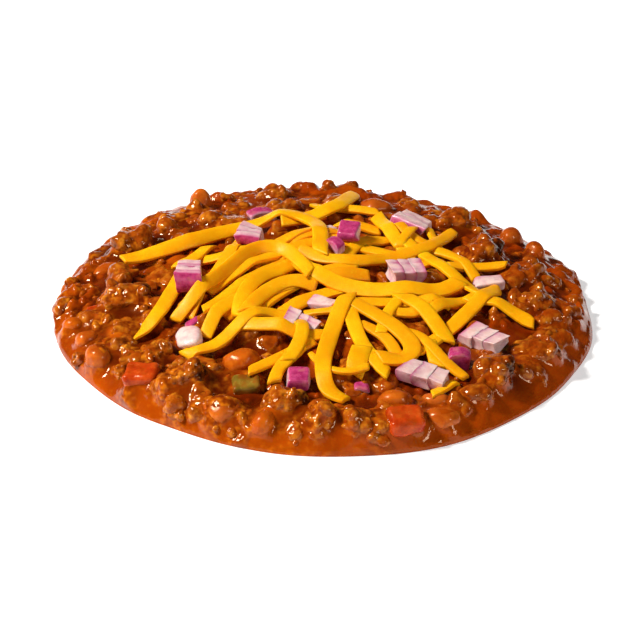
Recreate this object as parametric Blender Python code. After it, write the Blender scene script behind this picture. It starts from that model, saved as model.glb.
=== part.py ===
"""Chili con carne as it lies on a flat surface: a shallow round of thick sauce with
meat crumbles, kidney beans and pepper dice in it, and a tangle of cheese shreds and
red onion dice on top.

Metres, +Z up. The origin is the middle of the flat underside and the eater sits at -Y.
The constants and tables are in millimetres.
"""

import math

import bmesh
import bpy
import numpy as np
from mathutils import Matrix, Vector, noise
from mathutils.bvhtree import BVHTree

MM = 0.001

# The round of sauce: a nearly circular rim, a rounded lip and a low crown.
RIM_RADIUS = 86.0
RIM_OVAL = 0.024
RIM_OVAL_TURN = math.radians(28.5)
RIM_CORNERS = 0.008
RIM_CORNER_TURN = math.radians(14.0)
LIP_HEIGHT = 3.6
LIP_WIDTH = 5.0
CROWN_HEIGHT = 10.0
STEEPEST_RIM = 0.3

# Lumps of what lies just under the sauce, between the pieces that stand out of it.
LUMP_HEIGHT = 4.5
LUMP_SPACING = 10.0
LUMP_CLEARANCE = 4.5
LUMP_FADE = 3.0
CALM_HALF_X = 58.0
CALM_HALF_Y = 48.0

# Meat and beans are balls whose middle is above their base, dented by noise.
BALL_RISE = 0.3
BALL_SEGMENTS = 10
BALL_RINGS = 6
DENTS = 1.6
MEAT_ROUGHNESS = 0.45
BEAN_ROUGHNESS = 0.08
BEAN_BEND = 0.18
SEED_STEP = 7.3

# Diced pieces: edge radius and bow as shares of their size.
PEPPER_EDGE = 0.2
ONION_BOW = 0.125
LEAN_STEP = 2.4

GAP = 0.35
CLEAR = 0.6
DICE_OVERHANG = 1.2
SHRED_THICKNESS = 1.7
SHRED_MELD = 0.6
SHRED_STEP = 1.5
SHRED_SECTION = 7.0
SHRED_STIFFNESS = 40

AROUND = 80
INNER_RINGS = 10
LIP_START = 0.93
LIP_RINGS = (0.955, 0.975, 0.99, 1.0)

CELL = 1.0
MAP_HALF = 95.0
ABOVE_ALL = 100.0

# name: (x, y, length, width, height, turn in degrees)
MEAT = {
    "meat_01": (-62, 30.5, 15, 13, 7, 20),
    "meat_02": (-62, -9.5, 16, 14, 7.5, 0),
    "meat_03": (-51, 40.5, 9.5, 7, 5, 30),
    "meat_04": (-36, 43.5, 11, 9, 5, 0),
    "meat_05": (-16, 68, 13, 8, 4, 0),
    "meat_06": (-10, 53, 10, 8, 4, 0),
    "meat_07": (45, 45.5, 13, 11, 6, 0),
    "meat_08": (54, 21, 15, 13, 7, -20),
    "meat_09": (68, 7, 10, 9, 5, 0),
    "meat_10": (69, -8.5, 13, 10, 5, 0),
    "meat_11": (68, -37, 17, 12, 6, 25),
    "meat_12": (54, -50.5, 13, 12, 8, 0),
    "meat_13": (49, -61, 9, 8, 5, 0),
    "meat_14": (-42, -57, 16, 13, 8, 0),
    "meat_15": (-43.5, -66.5, 9, 6, 4.5, 0),
    "meat_16": (-11, -69, 14, 10, 7, 0),
    "meat_17": (0, -76, 11, 9, 6, 60),
    "meat_18": (11, -77, 10.5, 10, 6, 0),
    "meat_19": (-62, -33.5, 9, 7, 4, 20),
    "meat_20": (-52, -40, 10, 8, 5, 30),
}
BEANS = {
    "bean_01": (23, -68, 12, 8.5, 6, 0),
    "bean_02": (35.5, -65.5, 9.5, 6.5, 4, 0),
    "bean_03": (37, -73, 11.5, 8, 4.5, 0),
    "bean_04": (-24, -49.5, 13, 10, 7, 10),
    "bean_05": (-69, -38.5, 11, 8.5, 6, -60),
    "bean_06": (-74, -27, 8, 7, 4, 0),
    "bean_07": (-78.5, -17.5, 7.5, 6, 4, 0),
    "bean_08": (64, 37.5, 9, 8, 6, -30),
    "bean_09": (71.5, 29.5, 9, 6, 5, -60),
    "bean_10": (19, 57, 12, 8, 4, 0),
    "bean_11": (-41, 60, 8, 8, 8, 90),
    "bean_12": (-17, -76.5, 10, 7.5, 5.5, 60),
    "bean_13": (-29.5, -69.5, 13, 11, 6, 0),
}
PEPPERS = {
    "tomato_dice": (25.5, -77, 11, 9, 6, 10),
    "pepper_red": (-54.5, -52.5, 11, 9, 6, -10),
    "pepper_red_small": (-72.5, -12.5, 5, 5, 3, 0),
    "pepper_green": (-22.5, -60, 8.5, 7, 4, 5),
}
# As above, then how far it leans in degrees and how high its underside is over the sauce.
ONIONS_BEFORE = {
    "onion_01": (13, -62, 5.5, 4, 2.5, 0, 0, 0),
    "onion_02": (-20, 45, 10, 4.5, 4, 20, 0, 0),
    "onion_03": (54.5, -1.5, 11, 5, 3.5, 10, 8, 0),
    "onion_04": (30.5, 36, 13, 7, 5, -30, 5, 0),
    "onion_05": (3.5, 28.5, 5, 4.5, 4, 20, 10, 0),
    "onion_06": (9.5, 20.5, 7, 5.5, 4.5, -10, 12, 0),
    "onion_07": (5, 14, 7, 4, 3, -50, 0, 0),
    "onion_08": (14.5, 8.5, 7, 4, 3, 15, 0, 0),
    "onion_09": (-6.5, -32, 10, 6, 4.5, -30, 6, 0),
    "onion_10": (1, -20, 8, 5, 4, -25, 0, 0),
    "onion_11": (4, -4.5, 6, 3, 2.5, -20, 0, 0),
    "onion_12": (-23, 16, 8.5, 7, 5, -15, 8, 1),
    "onion_13": (-39, -28, 8, 3, 2.5, 30, 0, 1),
    "onion_14": (-40.5, -37.5, 7.5, 6.5, 5, 0, 10, 0),
    "onion_15": (-41.5, -10, 8.5, 7, 7, -8, 0, 1.5),
    "onion_16": (50.5, -35, 12, 8, 4.5, -35, 10, 0),
    "onion_17": (43, -46.5, 8, 5, 4.5, 0, 5, 0.5),
}
ONIONS_AFTER = {
    "onion_18": (28, -3.5, 10, 8, 7, 10, 0, 1),
    "onion_19": (31.5, -57.5, 14, 7.5, 4.5, -15, 5, 1),
    "onion_20": (-6.5, -60, 8, 6, 6, 0, 0, 0),
}
# (width, points along the middle), in the order in which they fell.
SHREDS = (
    (3.0, ((2, 50), (9, 48.5), (20, 45.5))),
    (3.0, ((-2, 55), (1, 48.5), (4, 44.5))),
    (3.6, ((-48, 11), (-35, 10), (-19, 11))),
    (3.2, ((42, 5.5), (52, 8), (61, 9))),
    (3.4, ((35, 19), (44, 13), (51, 1.5))),
    (2.6, ((36, 35.5), (37, 30.5), (39, 22))),
    (3.6, ((5, 36.5), (13, 35.5), (20, 32.5))),
    (3.8, ((7, 6), (9, 12), (14, 21), (23, 25))),
    (3.2, ((21, -25), (29, -26), (36, -22))),
    (3.6, ((35, -25), (42, -18), (50, -9.5))),
    (2.6, ((-5, -24), (1, -25), (6, -26))),
    (4.0, ((-37, -27), (-29, -17), (-21, -7.5))),
    (4.2, ((-36, -36), (-32, -27), (-25, -19))),
    (4.4, ((-27, -34), (-16, -37.5), (-6, -39.5), (2, -37.5))),
    (4.6, ((-6, 5.5), (-18, -6.5), (-24, -18), (-26, -30))),
    (4.6, ((-1, -10.5), (-10, -9.5), (-18, -17), (-23, -29))),
    (4.6, ((-24, 26), (-30, 8), (-36, -9.5), (-42, -23))),
    (4.4, ((-36, 21), (-44, 3.5), (-48, -12.5), (-53, -27), (-58, -30))),
    (4.6, ((47, -12.5), (58, -17), (68, -23))),
    (4.4, ((19, 43.5), (23, 28.5), (29, 15))),
    (4.2, ((27, 23), (38, 7), (48, -7.5), (53, -12.5))),
    (4.0, ((-7, 10), (9, 2.5), (23, 9), (36, 18), (45, 35.5))),
    (3.0, ((31, 30.5), (29, 25), (26, 18))),
    (3.6, ((30, -10.5), (22, -25), (19, -37.5))),
    (4.6, ((58, -4.5), (47, -22), (36, -37.5), (28, -48.5))),
    (4.0, ((34, -38.5), (35, -45.5), (36, -51.5))),
    (3.4, ((26, -36.5), (31, -37.5), (38, -49.5), (45, -55.5))),
    (4.8, ((26, -17), (35, -28), (40, -38.5))),
    (4.8, ((12, 65), (6, 47.5), (-4, 38.5), (-13, 33.5))),
    (4.8, ((-65, 14), (-43, 24), (-27, 33.5), (-11, 35.5), (0, 27), (4.5, 4.5))),
    (4.6, ((-8, 4.5), (0, -7.5), (18, -14.5), (36, -12.5), (45, -6.5))),
    (4.2, ((-46, -24), (-37, -15), (-24, 4.5), (-15, 10.5), (-7, 0.5), (-3, -7.5))),
    (3.6, ((-22, -57.5), (-13, -49.5), (-2, -41.5))),
    (3.8, ((-5, -44.5), (-12, -53.5), (-14, -61))),
    (4.0, ((-42, -44.5), (-34, -43.5), (-20, -30), (-10, -29), (-6, -41.5), (-10, -51.5))),
    (4.4, ((9, -24), (12, -39.5), (16, -52.5), (21, -59))),
    (5.0, ((8, -20), (18, -31), (27, -43.5), (25, -52.5), (18, -53.5))),
    (2.2, ((-3, -47.5), (3, -58), (9, -60), (15, -57.5))),
    (4.8, ((9, -18), (4, -35), (1, -52.5), (2, -65), (8, -69))),
)

SAUCE_COLOUR = (0.42, 0.13, 0.012)
MEAT_COLOUR = (0.28, 0.09, 0.02)
BEAN_COLOUR = (0.50, 0.14, 0.025)
TOMATO_COLOUR = (0.45, 0.05, 0.015)
GREEN_COLOUR = (0.22, 0.14, 0.02)
ONION_COLOUR = (0.60, 0.22, 0.38)
CHEESE_COLOUR = (0.90, 0.40, 0.01)


def make_material(name, colour, roughness):
    material = bpy.data.materials.new(name)
    material.use_nodes = True
    shader = material.node_tree.nodes["Principled BSDF"]
    shader.inputs["Base Color"].default_value = (*colour, 1.0)
    shader.inputs["Roughness"].default_value = roughness
    shader.inputs["Metallic"].default_value = 0.0
    return material


def add_object(name, mesh, material, place=Matrix.Identity(4)):
    """A scene object from a bmesh in millimetres, set down at a place in millimetres."""
    data = bpy.data.meshes.new(name)
    bmesh.ops.recalc_face_normals(mesh, faces=mesh.faces)
    bmesh.ops.transform(mesh, matrix=Matrix.Scale(MM, 4), verts=mesh.verts)
    mesh.to_mesh(data)
    mesh.free()
    data.materials.append(material)
    piece = bpy.data.objects.new(name, data)
    place = place.copy()
    place.translation *= MM
    piece.matrix_world = place
    bpy.context.scene.collection.objects.link(piece)
    return piece


# ---- the sauce ----


def rim_radius(angle):
    oval = RIM_OVAL * math.cos(2 * (angle + RIM_OVAL_TURN))
    corners = RIM_CORNERS * math.cos(4 * (angle - RIM_CORNER_TURN))
    return RIM_RADIUS * (1 + oval + corners)


def sauce_level(x, y):
    """Height of the calm sauce, without its lumps."""
    out = min(math.hypot(x, y) / rim_radius(math.atan2(y, x)), 1.0)
    inward = min((1 - out) * RIM_RADIUS / LIP_WIDTH, 1.0)
    return LIP_HEIGHT * math.sqrt(1 - (1 - inward) ** 2) + CROWN_HEIGHT * (1 - out**2)


def sauce_normal(x, y):
    """Upward normal of the crown, which a piece near the rim doesn't lean beyond."""
    slope = min(2 * CROWN_HEIGHT * math.hypot(x, y) / RIM_RADIUS**2, STEEPEST_RIM)
    away = Vector((x, y, 0)).normalized()
    return (Vector((0, 0, 1)) + away * slope).normalized()


def beyond_piece(x, y, piece):
    """Distance from a point to a piece's elliptical footprint, 0 inside it."""
    px, py, length, width, _, turn = piece
    offset = Matrix.Rotation(-math.radians(turn), 2) @ Vector((x - px, y - py))
    reach = math.hypot(offset.x / (length / 2), offset.y / (width / 2))
    return max(reach - 1, 0) * min(length, width) / 2


def lump(x, y, pieces):
    """Relief of the sauce, flat under every piece, under the cheese and at the rim."""
    inward = (1 - math.hypot(x, y) / rim_radius(math.atan2(y, x))) * RIM_RADIUS
    calm = (math.hypot(x / CALM_HALF_X, y / CALM_HALF_Y) - 1) * CALM_HALF_Y
    beside = min(beyond_piece(x, y, piece) for piece in pieces) - LUMP_CLEARANCE
    fade = max(0.0, min(1.0, min(inward, calm, beside) / LUMP_FADE))
    wave = noise.noise(Vector((x, y, 0)) / LUMP_SPACING)
    return LUMP_HEIGHT * fade * max(wave + 0.2, 0.0)


def build_stew(material, pieces):
    """One closed round: rings of points on the surface over a flat underside."""
    fractions = [LIP_START * (k + 1) / INNER_RINGS for k in range(INNER_RINGS)]
    fractions += LIP_RINGS
    mesh = bmesh.new()
    middle = mesh.verts.new((0, 0, sauce_level(0, 0)))
    rings = []
    for fraction in fractions:
        ring = []
        for step in range(AROUND):
            angle = 2 * math.pi * step / AROUND
            radius = fraction * rim_radius(angle)
            x, y = radius * math.cos(angle), radius * math.sin(angle)
            height = sauce_level(x, y) + lump(x, y, pieces) if fraction < 1 else 0.0
            ring.append(mesh.verts.new((x, y, height)))
        rings.append(ring)
    under = mesh.verts.new((0, 0, 0))
    for step in range(AROUND):
        after = (step + 1) % AROUND
        mesh.faces.new((middle, rings[0][step], rings[0][after]))
        mesh.faces.new((under, rings[-1][after], rings[-1][step]))
        for inner, outer in zip(rings, rings[1:]):
            mesh.faces.new((inner[step], outer[step], outer[after]))
            mesh.faces.new((inner[step], outer[after], inner[after]))
    return add_object("stew", mesh, material)


# ---- what lies on top of what ----


class TopMap:
    """The highest point over each square cell, so that a new piece comes to rest on it."""

    def __init__(self):
        line = np.arange(-MAP_HALF, MAP_HALF + CELL, CELL)
        self.x, self.y = np.meshgrid(line, line, indexing="ij")
        self.height = np.zeros(self.x.shape)

    def window(self, low_x, high_x, low_y, high_y):
        """The block of cells that covers a box."""
        bounds = []
        for low, high in ((low_x, high_x), (low_y, high_y)):
            first = max(math.floor((low + MAP_HALF) / CELL), 0)
            bounds.append(slice(first, math.ceil((high + MAP_HALF) / CELL) + 1))
        return tuple(bounds)

    def under(self, x, y, length, width, turn, margin):
        """The block of cells round a turned rectangle, and which of them it covers."""
        reach = math.hypot(length, width) / 2 + margin
        block = self.window(x - reach, x + reach, y - reach, y + reach)
        dx, dy = self.x[block] - x, self.y[block] - y
        along = np.abs(dx * math.cos(turn) + dy * math.sin(turn))
        across = np.abs(dy * math.cos(turn) - dx * math.sin(turn))
        covered = (along <= length / 2 + margin) & (across <= width / 2 + margin)
        return block, covered

    def top(self, x, y, length, width, turn, margin):
        block, covered = self.under(x, y, length, width, turn, margin)
        return float(self.height[block][covered].max(initial=0.0))

    def raise_to(self, x, y, length, width, turn, top):
        block, covered = self.under(x, y, length, width, turn, 0.0)
        heights = self.height[block]
        heights[covered] = np.maximum(heights[covered], top)

    def add_piece(self, piece):
        """Raises the map to the top of an object."""
        bpy.context.view_layer.update()
        tree = BVHTree.FromObject(piece, bpy.context.evaluated_depsgraph_get())
        inverse = piece.matrix_world.inverted()
        down = inverse.to_3x3() @ Vector((0, 0, -1))
        corners = [piece.matrix_world @ Vector(c) / MM for c in piece.bound_box]
        xs, ys = [c.x for c in corners], [c.y for c in corners]
        block = self.window(min(xs), max(xs), min(ys), max(ys))
        heights = self.height[block]
        for cell, x in np.ndenumerate(self.x[block]):
            above = Vector((x, self.y[block][cell], ABOVE_ALL)) * MM
            hit = tree.ray_cast(inverse @ above, down)[0]
            if hit is not None:
                top = (piece.matrix_world @ hit).z / MM
                heights[cell] = max(heights[cell], top)


# ---- the pieces ----


def set_on_sauce(x, y, turn):
    """Where a piece is set: its flat base just above the sauce, square to the crown."""
    up = sauce_normal(x, y)
    lean = Vector((0, 0, 1)).rotation_difference(up).to_matrix().to_4x4()
    spin = Matrix.Rotation(math.radians(turn), 4, "Z")
    level = Vector((x, y, sauce_level(x, y))) + up * GAP
    return Matrix.Translation(level) @ lean @ spin


def cut_flat(mesh):
    """Takes away what is below the base and closes the cut."""
    geometry = mesh.verts[:] + mesh.edges[:] + mesh.faces[:]
    cut = bmesh.ops.bisect_plane(
        mesh, geom=geometry, plane_co=(0, 0, 0), plane_no=(0, 0, -1), clear_outer=True
    )
    edges = [e for e in cut["geom_cut"] if isinstance(e, bmesh.types.BMEdge)]
    bmesh.ops.edgeloop_fill(mesh, edges=edges)
    bmesh.ops.triangulate(mesh, faces=mesh.faces)


def lumpy_piece(size, seed, roughness, bend):
    """The part of a lumpy or bean-shaped ball that shows above the sauce."""
    length, width, height = size
    mesh = bmesh.new()
    bmesh.ops.create_uvsphere(
        mesh, u_segments=BALL_SEGMENTS, v_segments=BALL_RINGS, radius=1
    )
    for vert in mesh.verts:
        spot = vert.co.copy()
        spot *= 1 + roughness * noise.noise(spot * DENTS + Vector((SEED_STEP * seed, 0, 0)))
        spot.y += bend * (spot.x**2 - 0.5)
        rise = (spot.z + BALL_RISE) / (1 + BALL_RISE)
        vert.co = (spot.x * length / 2, spot.y * width / 2, rise * height)
    cut_flat(mesh)
    return mesh


def block(size, bend, bevel):
    """A diced piece, slightly curved like the layer it was cut from."""
    length, width, height = size
    mesh = bmesh.new()
    bmesh.ops.create_cube(mesh, size=1)
    along = [e for e in mesh.edges if abs(e.verts[0].co.x - e.verts[1].co.x) > 0.5]
    if bend:
        bmesh.ops.subdivide_edges(mesh, edges=along, cuts=2, use_grid_fill=True)
    for vert in mesh.verts:
        bow = bend * (1 - 4 * vert.co.x**2)
        vert.co = (vert.co.x * length, vert.co.y * width + bow, vert.co.z * height)
    if bevel:
        bmesh.ops.bevel(mesh, geom=mesh.edges[:], offset=bevel, affect="EDGES")
    bmesh.ops.triangulate(mesh, faces=mesh.faces)
    return mesh


def build_meat(material):
    pieces = []
    for seed, (name, (x, y, *size, turn)) in enumerate(MEAT.items()):
        mesh = lumpy_piece(size, seed, MEAT_ROUGHNESS, 0)
        pieces.append(add_object(name, mesh, material, set_on_sauce(x, y, turn)))
    return pieces


def build_beans(material):
    pieces = []
    for seed, (name, (x, y, *size, turn)) in enumerate(BEANS.items()):
        mesh = lumpy_piece(size, seed, BEAN_ROUGHNESS, BEAN_BEND)
        pieces.append(add_object(name, mesh, material, set_on_sauce(x, y, turn)))
    return pieces


def build_peppers(red, green):
    pieces = []
    for name, (x, y, length, width, height, turn) in PEPPERS.items():
        material = green if name == "pepper_green" else red
        mesh = block((length, width, height), 0, height * PEPPER_EDGE)
        bmesh.ops.translate(mesh, vec=(0, 0, height / 2), verts=mesh.verts)
        pieces.append(add_object(name, mesh, material, set_on_sauce(x, y, turn)))
    return pieces


def build_onions(table, material, dice):
    """Sets onion dice at their height and notes their tops; returns the room round each."""
    rooms = []
    for seed, (name, (x, y, *size, turn, lean, rise)) in enumerate(table.items()):
        tilt = math.radians(lean)
        half = size[2] / 2 * math.cos(tilt) + max(size[:2]) / 2 * math.sin(tilt)
        axis = Vector((math.cos(LEAN_STEP * seed), math.sin(LEAN_STEP * seed), 0))
        place = set_on_sauce(x, y, 0) @ Matrix.Translation((0, 0, rise + half))
        place = place @ Matrix.Rotation(tilt, 4, axis)
        place = place @ Matrix.Rotation(math.radians(turn), 4, "Z")
        bow = size[1] * ONION_BOW
        piece = add_object(name, block(size, bow, 0), material, place)
        dice.add_piece(piece)
        room = block([side + 2 * GAP for side in size], bow, 0)
        rooms.append(add_object(f"room_{name}", room, material, place))
    return rooms


# ---- the cheese ----


def smooth_route(points, step):
    """A Catmull-Rom curve through the points, as a list about one step apart."""
    ends = [2 * points[0] - points[1], *points, 2 * points[-1] - points[-2]]
    route = []
    for before, start, end, after in zip(ends, ends[1:], ends[2:], ends[3:]):
        count = max(2, round((end - start).length / step))
        for k in range(count):
            t = k / count
            bend = 2 * before - 5 * start + 4 * end - after
            turn = 3 * start - before - 3 * end + after
            route.append(start + 0.5 * (t * (end - before) + t**2 * bend + t**3 * turn))
    route.append(points[-1])
    return route


def headings(route):
    """The direction of the route at each of its points, as an angle."""
    ahead = [b - a for a, b in zip([route[0], *route], [*route[1:], route[-1]])]
    return [math.atan2(step.y, step.x) for step in ahead]


def resting_heights(footprints, things, dice, cheese):
    """Underside of a shred that bridges whatever it lies on, as a stiff strip does."""
    floor = np.array(
        [
            max(
                things.top(*footprint, CLEAR) + GAP,
                dice.top(*footprint, -DICE_OVERHANG) + GAP,
                cheese.top(*footprint, -CLEAR) - SHRED_MELD,
            )
            for footprint in footprints
        ]
    )
    height = floor.copy()
    for _ in range(SHRED_STIFFNESS):
        eased = height.copy()
        eased[1:-1] = (height[:-2] + 2 * height[1:-1] + height[2:]) / 4
        height = np.maximum(floor, eased)
    return height


def section_numbers(count, spacing):
    """Evenly spread section places along a route of so many points."""
    sections = max(2, round((count - 1) / spacing))
    return [round(k * (count - 1) / sections) for k in range(sections + 1)]


def build_shred(number, width, points, material, things, dice, cheese):
    """A rectangular strip along its route, with a few long facets."""
    route = smooth_route([Vector(p) for p in points], SHRED_STEP)
    turns = headings(route)
    footprints = [(*p, SHRED_STEP, width, turn) for p, turn in zip(route, turns)]
    under = resting_heights(footprints, things, dice, cheese)
    for footprint, low in zip(footprints, under):
        cheese.raise_to(*footprint, low + SHRED_THICKNESS)
    chosen = section_numbers(len(route), SHRED_SECTION / SHRED_STEP)
    heights = {k: under[k] for k in chosen}
    for first, last in zip(chosen, chosen[1:]):
        sag = 0.0
        for k in range(first, last + 1):
            share = (k - first) / (last - first)
            chord = heights[first] * (1 - share) + heights[last] * share
            sag = max(sag, things.top(*footprints[k], CLEAR) + GAP - chord)
        heights[first] += sag
        heights[last] += sag
    mesh = bmesh.new()
    rings = []
    for k in chosen:
        side = Vector((-math.sin(turns[k]), math.cos(turns[k]))) * width / 2
        low, high = heights[k], heights[k] + SHRED_THICKNESS
        left, right = route[k] + side, route[k] - side
        corners = ((*left, low), (*left, high), (*right, high), (*right, low))
        rings.append([mesh.verts.new(corner) for corner in corners])
    mesh.faces.new(rings[0])
    mesh.faces.new(rings[-1])
    for ring, beyond in zip(rings, rings[1:]):
        for k in range(4):
            after = (k + 1) % 4
            mesh.faces.new((ring[k], ring[after], beyond[after], beyond[k]))
    bmesh.ops.triangulate(mesh, faces=mesh.faces)
    return add_object(f"shred_{number:02d}", mesh, material)


def helper_collection(name, helpers):
    """Moves shapes that only cut or join into a collection of their own."""
    group = bpy.data.collections.new(name)
    bpy.context.scene.collection.children.link(group)
    for helper in helpers:
        bpy.context.scene.collection.objects.unlink(helper)
        group.objects.link(helper)
        helper.hide_render = True
        helper.display_type = "WIRE"
    return group


def join_shreds(shreds, rooms):
    """The whole tangle as one solid, with room left round the dice that lie in it."""
    heap = shreds[0]
    heap.name = "cheese_heap"
    steps = (("UNION", shreds[1:]), ("DIFFERENCE", rooms))
    for operation, helpers in steps:
        joint = heap.modifiers.new(operation.lower(), "BOOLEAN")
        joint.operation = operation
        joint.solver = "EXACT"
        joint.operand_type = "COLLECTION"
        joint.collection = helper_collection(operation.lower(), helpers)


def build_chili():
    for old in list(bpy.data.objects):
        bpy.data.objects.remove(old, do_unlink=True)
    sauce = make_material("sauce", SAUCE_COLOUR, 0.25)
    meat = make_material("meat", MEAT_COLOUR, 0.45)
    bean = make_material("bean", BEAN_COLOUR, 0.25)
    tomato = make_material("tomato", TOMATO_COLOUR, 0.25)
    green = make_material("green_pepper", GREEN_COLOUR, 0.3)
    onion = make_material("onion", ONION_COLOUR, 0.35)
    shred = make_material("cheese", CHEESE_COLOUR, 0.45)

    things = TopMap()
    dice = TopMap()
    cheese = TopMap()
    tables = (MEAT, BEANS, PEPPERS, ONIONS_BEFORE, ONIONS_AFTER)
    pieces = [piece[:6] for table in tables for piece in table.values()]
    things.add_piece(build_stew(sauce, pieces))
    in_sauce = build_meat(meat) + build_beans(bean) + build_peppers(tomato, green)
    for piece in in_sauce:
        things.add_piece(piece)

    shreds = []
    rooms = build_onions(ONIONS_BEFORE, onion, dice)
    for width, points in SHREDS:
        number = len(shreds)
        shreds.append(build_shred(number, width, points, shred, things, dice, cheese))
    rooms += build_onions(ONIONS_AFTER, onion, dice)
    join_shreds(shreds, rooms)


build_chili()
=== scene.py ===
"""The looks of the chili con carne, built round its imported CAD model.

Every fine piece is made from the frame's solids: minced meat and beans grow on their
nodes, the sauce is a fine skin that creeps up against them, the onion dice become curved
layers and the cheese heap is laid again as single shreds. The meat and beans that are
half sunk in the sauce are the scene's own.

Sizes and places are in millimetres, apart from those of the stage, which are in metres.
"""

import math

import bmesh
import bpy
import numpy as np
from mathutils import Matrix, Vector, noise
from mathutils.bvhtree import BVHTree


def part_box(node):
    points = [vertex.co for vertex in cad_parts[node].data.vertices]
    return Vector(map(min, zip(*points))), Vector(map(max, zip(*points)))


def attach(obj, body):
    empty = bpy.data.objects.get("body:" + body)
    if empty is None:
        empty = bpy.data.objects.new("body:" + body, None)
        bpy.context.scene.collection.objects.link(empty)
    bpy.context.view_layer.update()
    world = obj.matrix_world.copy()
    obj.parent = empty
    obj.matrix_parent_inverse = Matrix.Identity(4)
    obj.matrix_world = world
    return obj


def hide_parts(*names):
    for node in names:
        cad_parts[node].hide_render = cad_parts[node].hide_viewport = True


MM = 0.001

# Limits for corners that meet, and for the cosines of sides that face the same way or
# too nearly so to be two sides of a block.
WELD = 0.01
PARALLEL = 0.9999
ALIKE = 0.5

# The round of sauce, as in the CAD model.
RIM_RADIUS = 86.0
RIM_OVAL = 0.024
RIM_OVAL_TURN = math.radians(28.5)
RIM_CORNERS = 0.008
RIM_CORNER_TURN = math.radians(14.0)
LIP_HEIGHT = 3.6
LIP_WIDTH = 5.0
LIP_POWER = 2.6
LIP_SAG = 1.6
SAG_START = 0.84
CROWN_HEIGHT = 10.0
LUMP_HEIGHT = 4.5
LUMP_SPACING = 10.0
LUMP_CLEARANCE = 4.5
LUMP_FADE = 3.0
CALM_HALF_X = 58.0
CALM_HALF_Y = 48.0

# The fine skin of the sauce: rings of small squares, the last of them round its lip.
SKIN_RINGS = 150
LIP_RINGS = 14
RIM_WOBBLE = 0.012
RIM_WOBBLE_SIZE = 0.3
RIM_SHIFT = 0.012
# Where the lip gets lighter, partly as thinner sauce and partly as painted light on its shaded wall.
THIN_START = 0.84
THIN_WIDTH = 0.12
# Where the painted shade in the hollows of the sauce fades out towards the rim, and how far the dips
# that it follows reach.
HOLLOW_END = 0.92
HOLLOW_FADE = 0.05
DIP_REACH = 1.5
WIDE_DIP_REACH = 4.0
WIDE_DIP_SHARE = 0.35

# Its relief: crumbs under the film, more lumps towards the rim, and slow ripples. One
# spot at the front right stays calm, and the back is half as rough.
CRUMBLY_HEIGHT = 3.1
CRUMBLY_SIZE = 4.0
CRUMBLY_PATCH_SIZE = 14.0
RIM_LUMP = 5.0
RIM_LUMP_SIZE = 6.0
RELIEF_EDGE = 1.5
RELIEF_FADE = 4.0
CALM_SPOT = (60, -54)
CALM_REACH = 20.0
CALM_BACK = 60.0
RIPPLE_HEIGHT = 0.4
RIPPLE_SIZE = 7.0

# Chunks inside the sauce that push its lip out, in patches.
LIP_LUMP = 3.4
LIP_LUMP_SIZE = 6.5
LIP_LUMP_START = 0.88
LIP_LUMP_FADE = 0.06
LIP_LUMP_FOOT = 2.5
LIP_LUMP_RISE = 0.3
LIP_PATCH_SIZE = 22.0

# The film of sauce that hugs the pieces: how far it spreads from them, and how far it
# stays below their tops. Some beans are bare, others are coated like meat.
DRAPE_FILM = (2.5, 0.2)
MEAT_FILM = (0.7, 0.2)
BEAN_FILM = (0.9, -0.15)
DICE_FILM = (1.0, 2.1)
FILM_BLEND = 1.0
FILM_FADE = 2.5
FILM_TINT_DEPTH = 1.6
FILM_TINT_BLUR = 0.6
BARE_BEANS = ("bean_01", "bean_02", "bean_04", "bean_11")
BARE_DROP = 0.9
COATED_BEANS = ("bean_05", "bean_09", "bean_13")
COAT = 0.5

# Minced meat: its finest detail, which chunks are smoother, the size and cragginess of
# the grains on them, how the grains vary, stretch and sit, and the pits between them.
MEAT_VOXEL = 0.38
SMOOTH_MEAT = ("meat_01", "meat_13", "meat_18")
SMOOTH_GRAIN = (3.4, 0.25)
CRAGGY_GRAIN = (3.7, 0.5)
CORE_SHRINK = 0.08
GRAIN_COVER = 0.6
GRAIN_SIZES = (0.35, 1.0)
GRAIN_STRETCH = (0.55, 1.45)
GRAIN_SUNK = 0.4
GRAIN_DEPTH = 1.5
PIT_SIZE = 3.2
PIT_DEPTH = 0.9
FINE_PIT_DEPTH = 0.4
PIT_LEVEL = 0.35

# Chunks whose right end gets painted shade, darker than the rest.
RIGHT_SHADED_MEAT = ("meat_02", "meat_08", "meat_12", "meat_14", "meat_16")
DARK_END = 0.3
DARK_END_START = 0.72
DARK_END_WIDTH = 0.16
DARK_END_WAVER = 4.0

# Beans and dice of vegetable: voxel, rounds of smoothing, height and size of the bumps.
BEAN_FINISH = (0.5, 60, 0.5, 4.0)
DICE_FINISH = (0.4, 60, 0.7, 4.5)
KEEP_SIZE = 1.02

# Meat and beans half sunk in the sauce, between the pieces that stand out of it. They
# get smaller where the rim is nearer than the room that they have in front or behind.
PLACE_TRIES = 40
PLACE_REACH = 0.965
TAKEN = 0.4
NUGGET_KINDS = 10
NUGGET_VOXEL = 0.55
NUGGET_HALF = (4.4, 3.6, 2.9)
NUGGET_GRAIN = (3.0, 0.4)
NUGGET_COUNT = 150
NUGGET_SPACING = 7.0
NUGGET_MARGIN = 1.2
NUGGET_SIZES = (0.65, 1.4)
NUGGET_SUNK = (-0.2, 1.5)
FRONT_ROOM = 7.0
BACK_ROOM = 20.0
SUNKEN_SHOW = 0.8
SUNKEN_BEANS = 16
BEAN_HALF = (5.8, 3.7, 3.2)
BEAN_CURVE = 0.035
BEAN_SPACING = 18.0
BEAN_MARGIN = 2.5
BEAN_ROOM = 12.0
BEAN_SIZES = (0.85, 1.1)
BEAN_SUNK = (0.8, 2.0)
HIDDEN_DEPTH = 0.4

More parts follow.
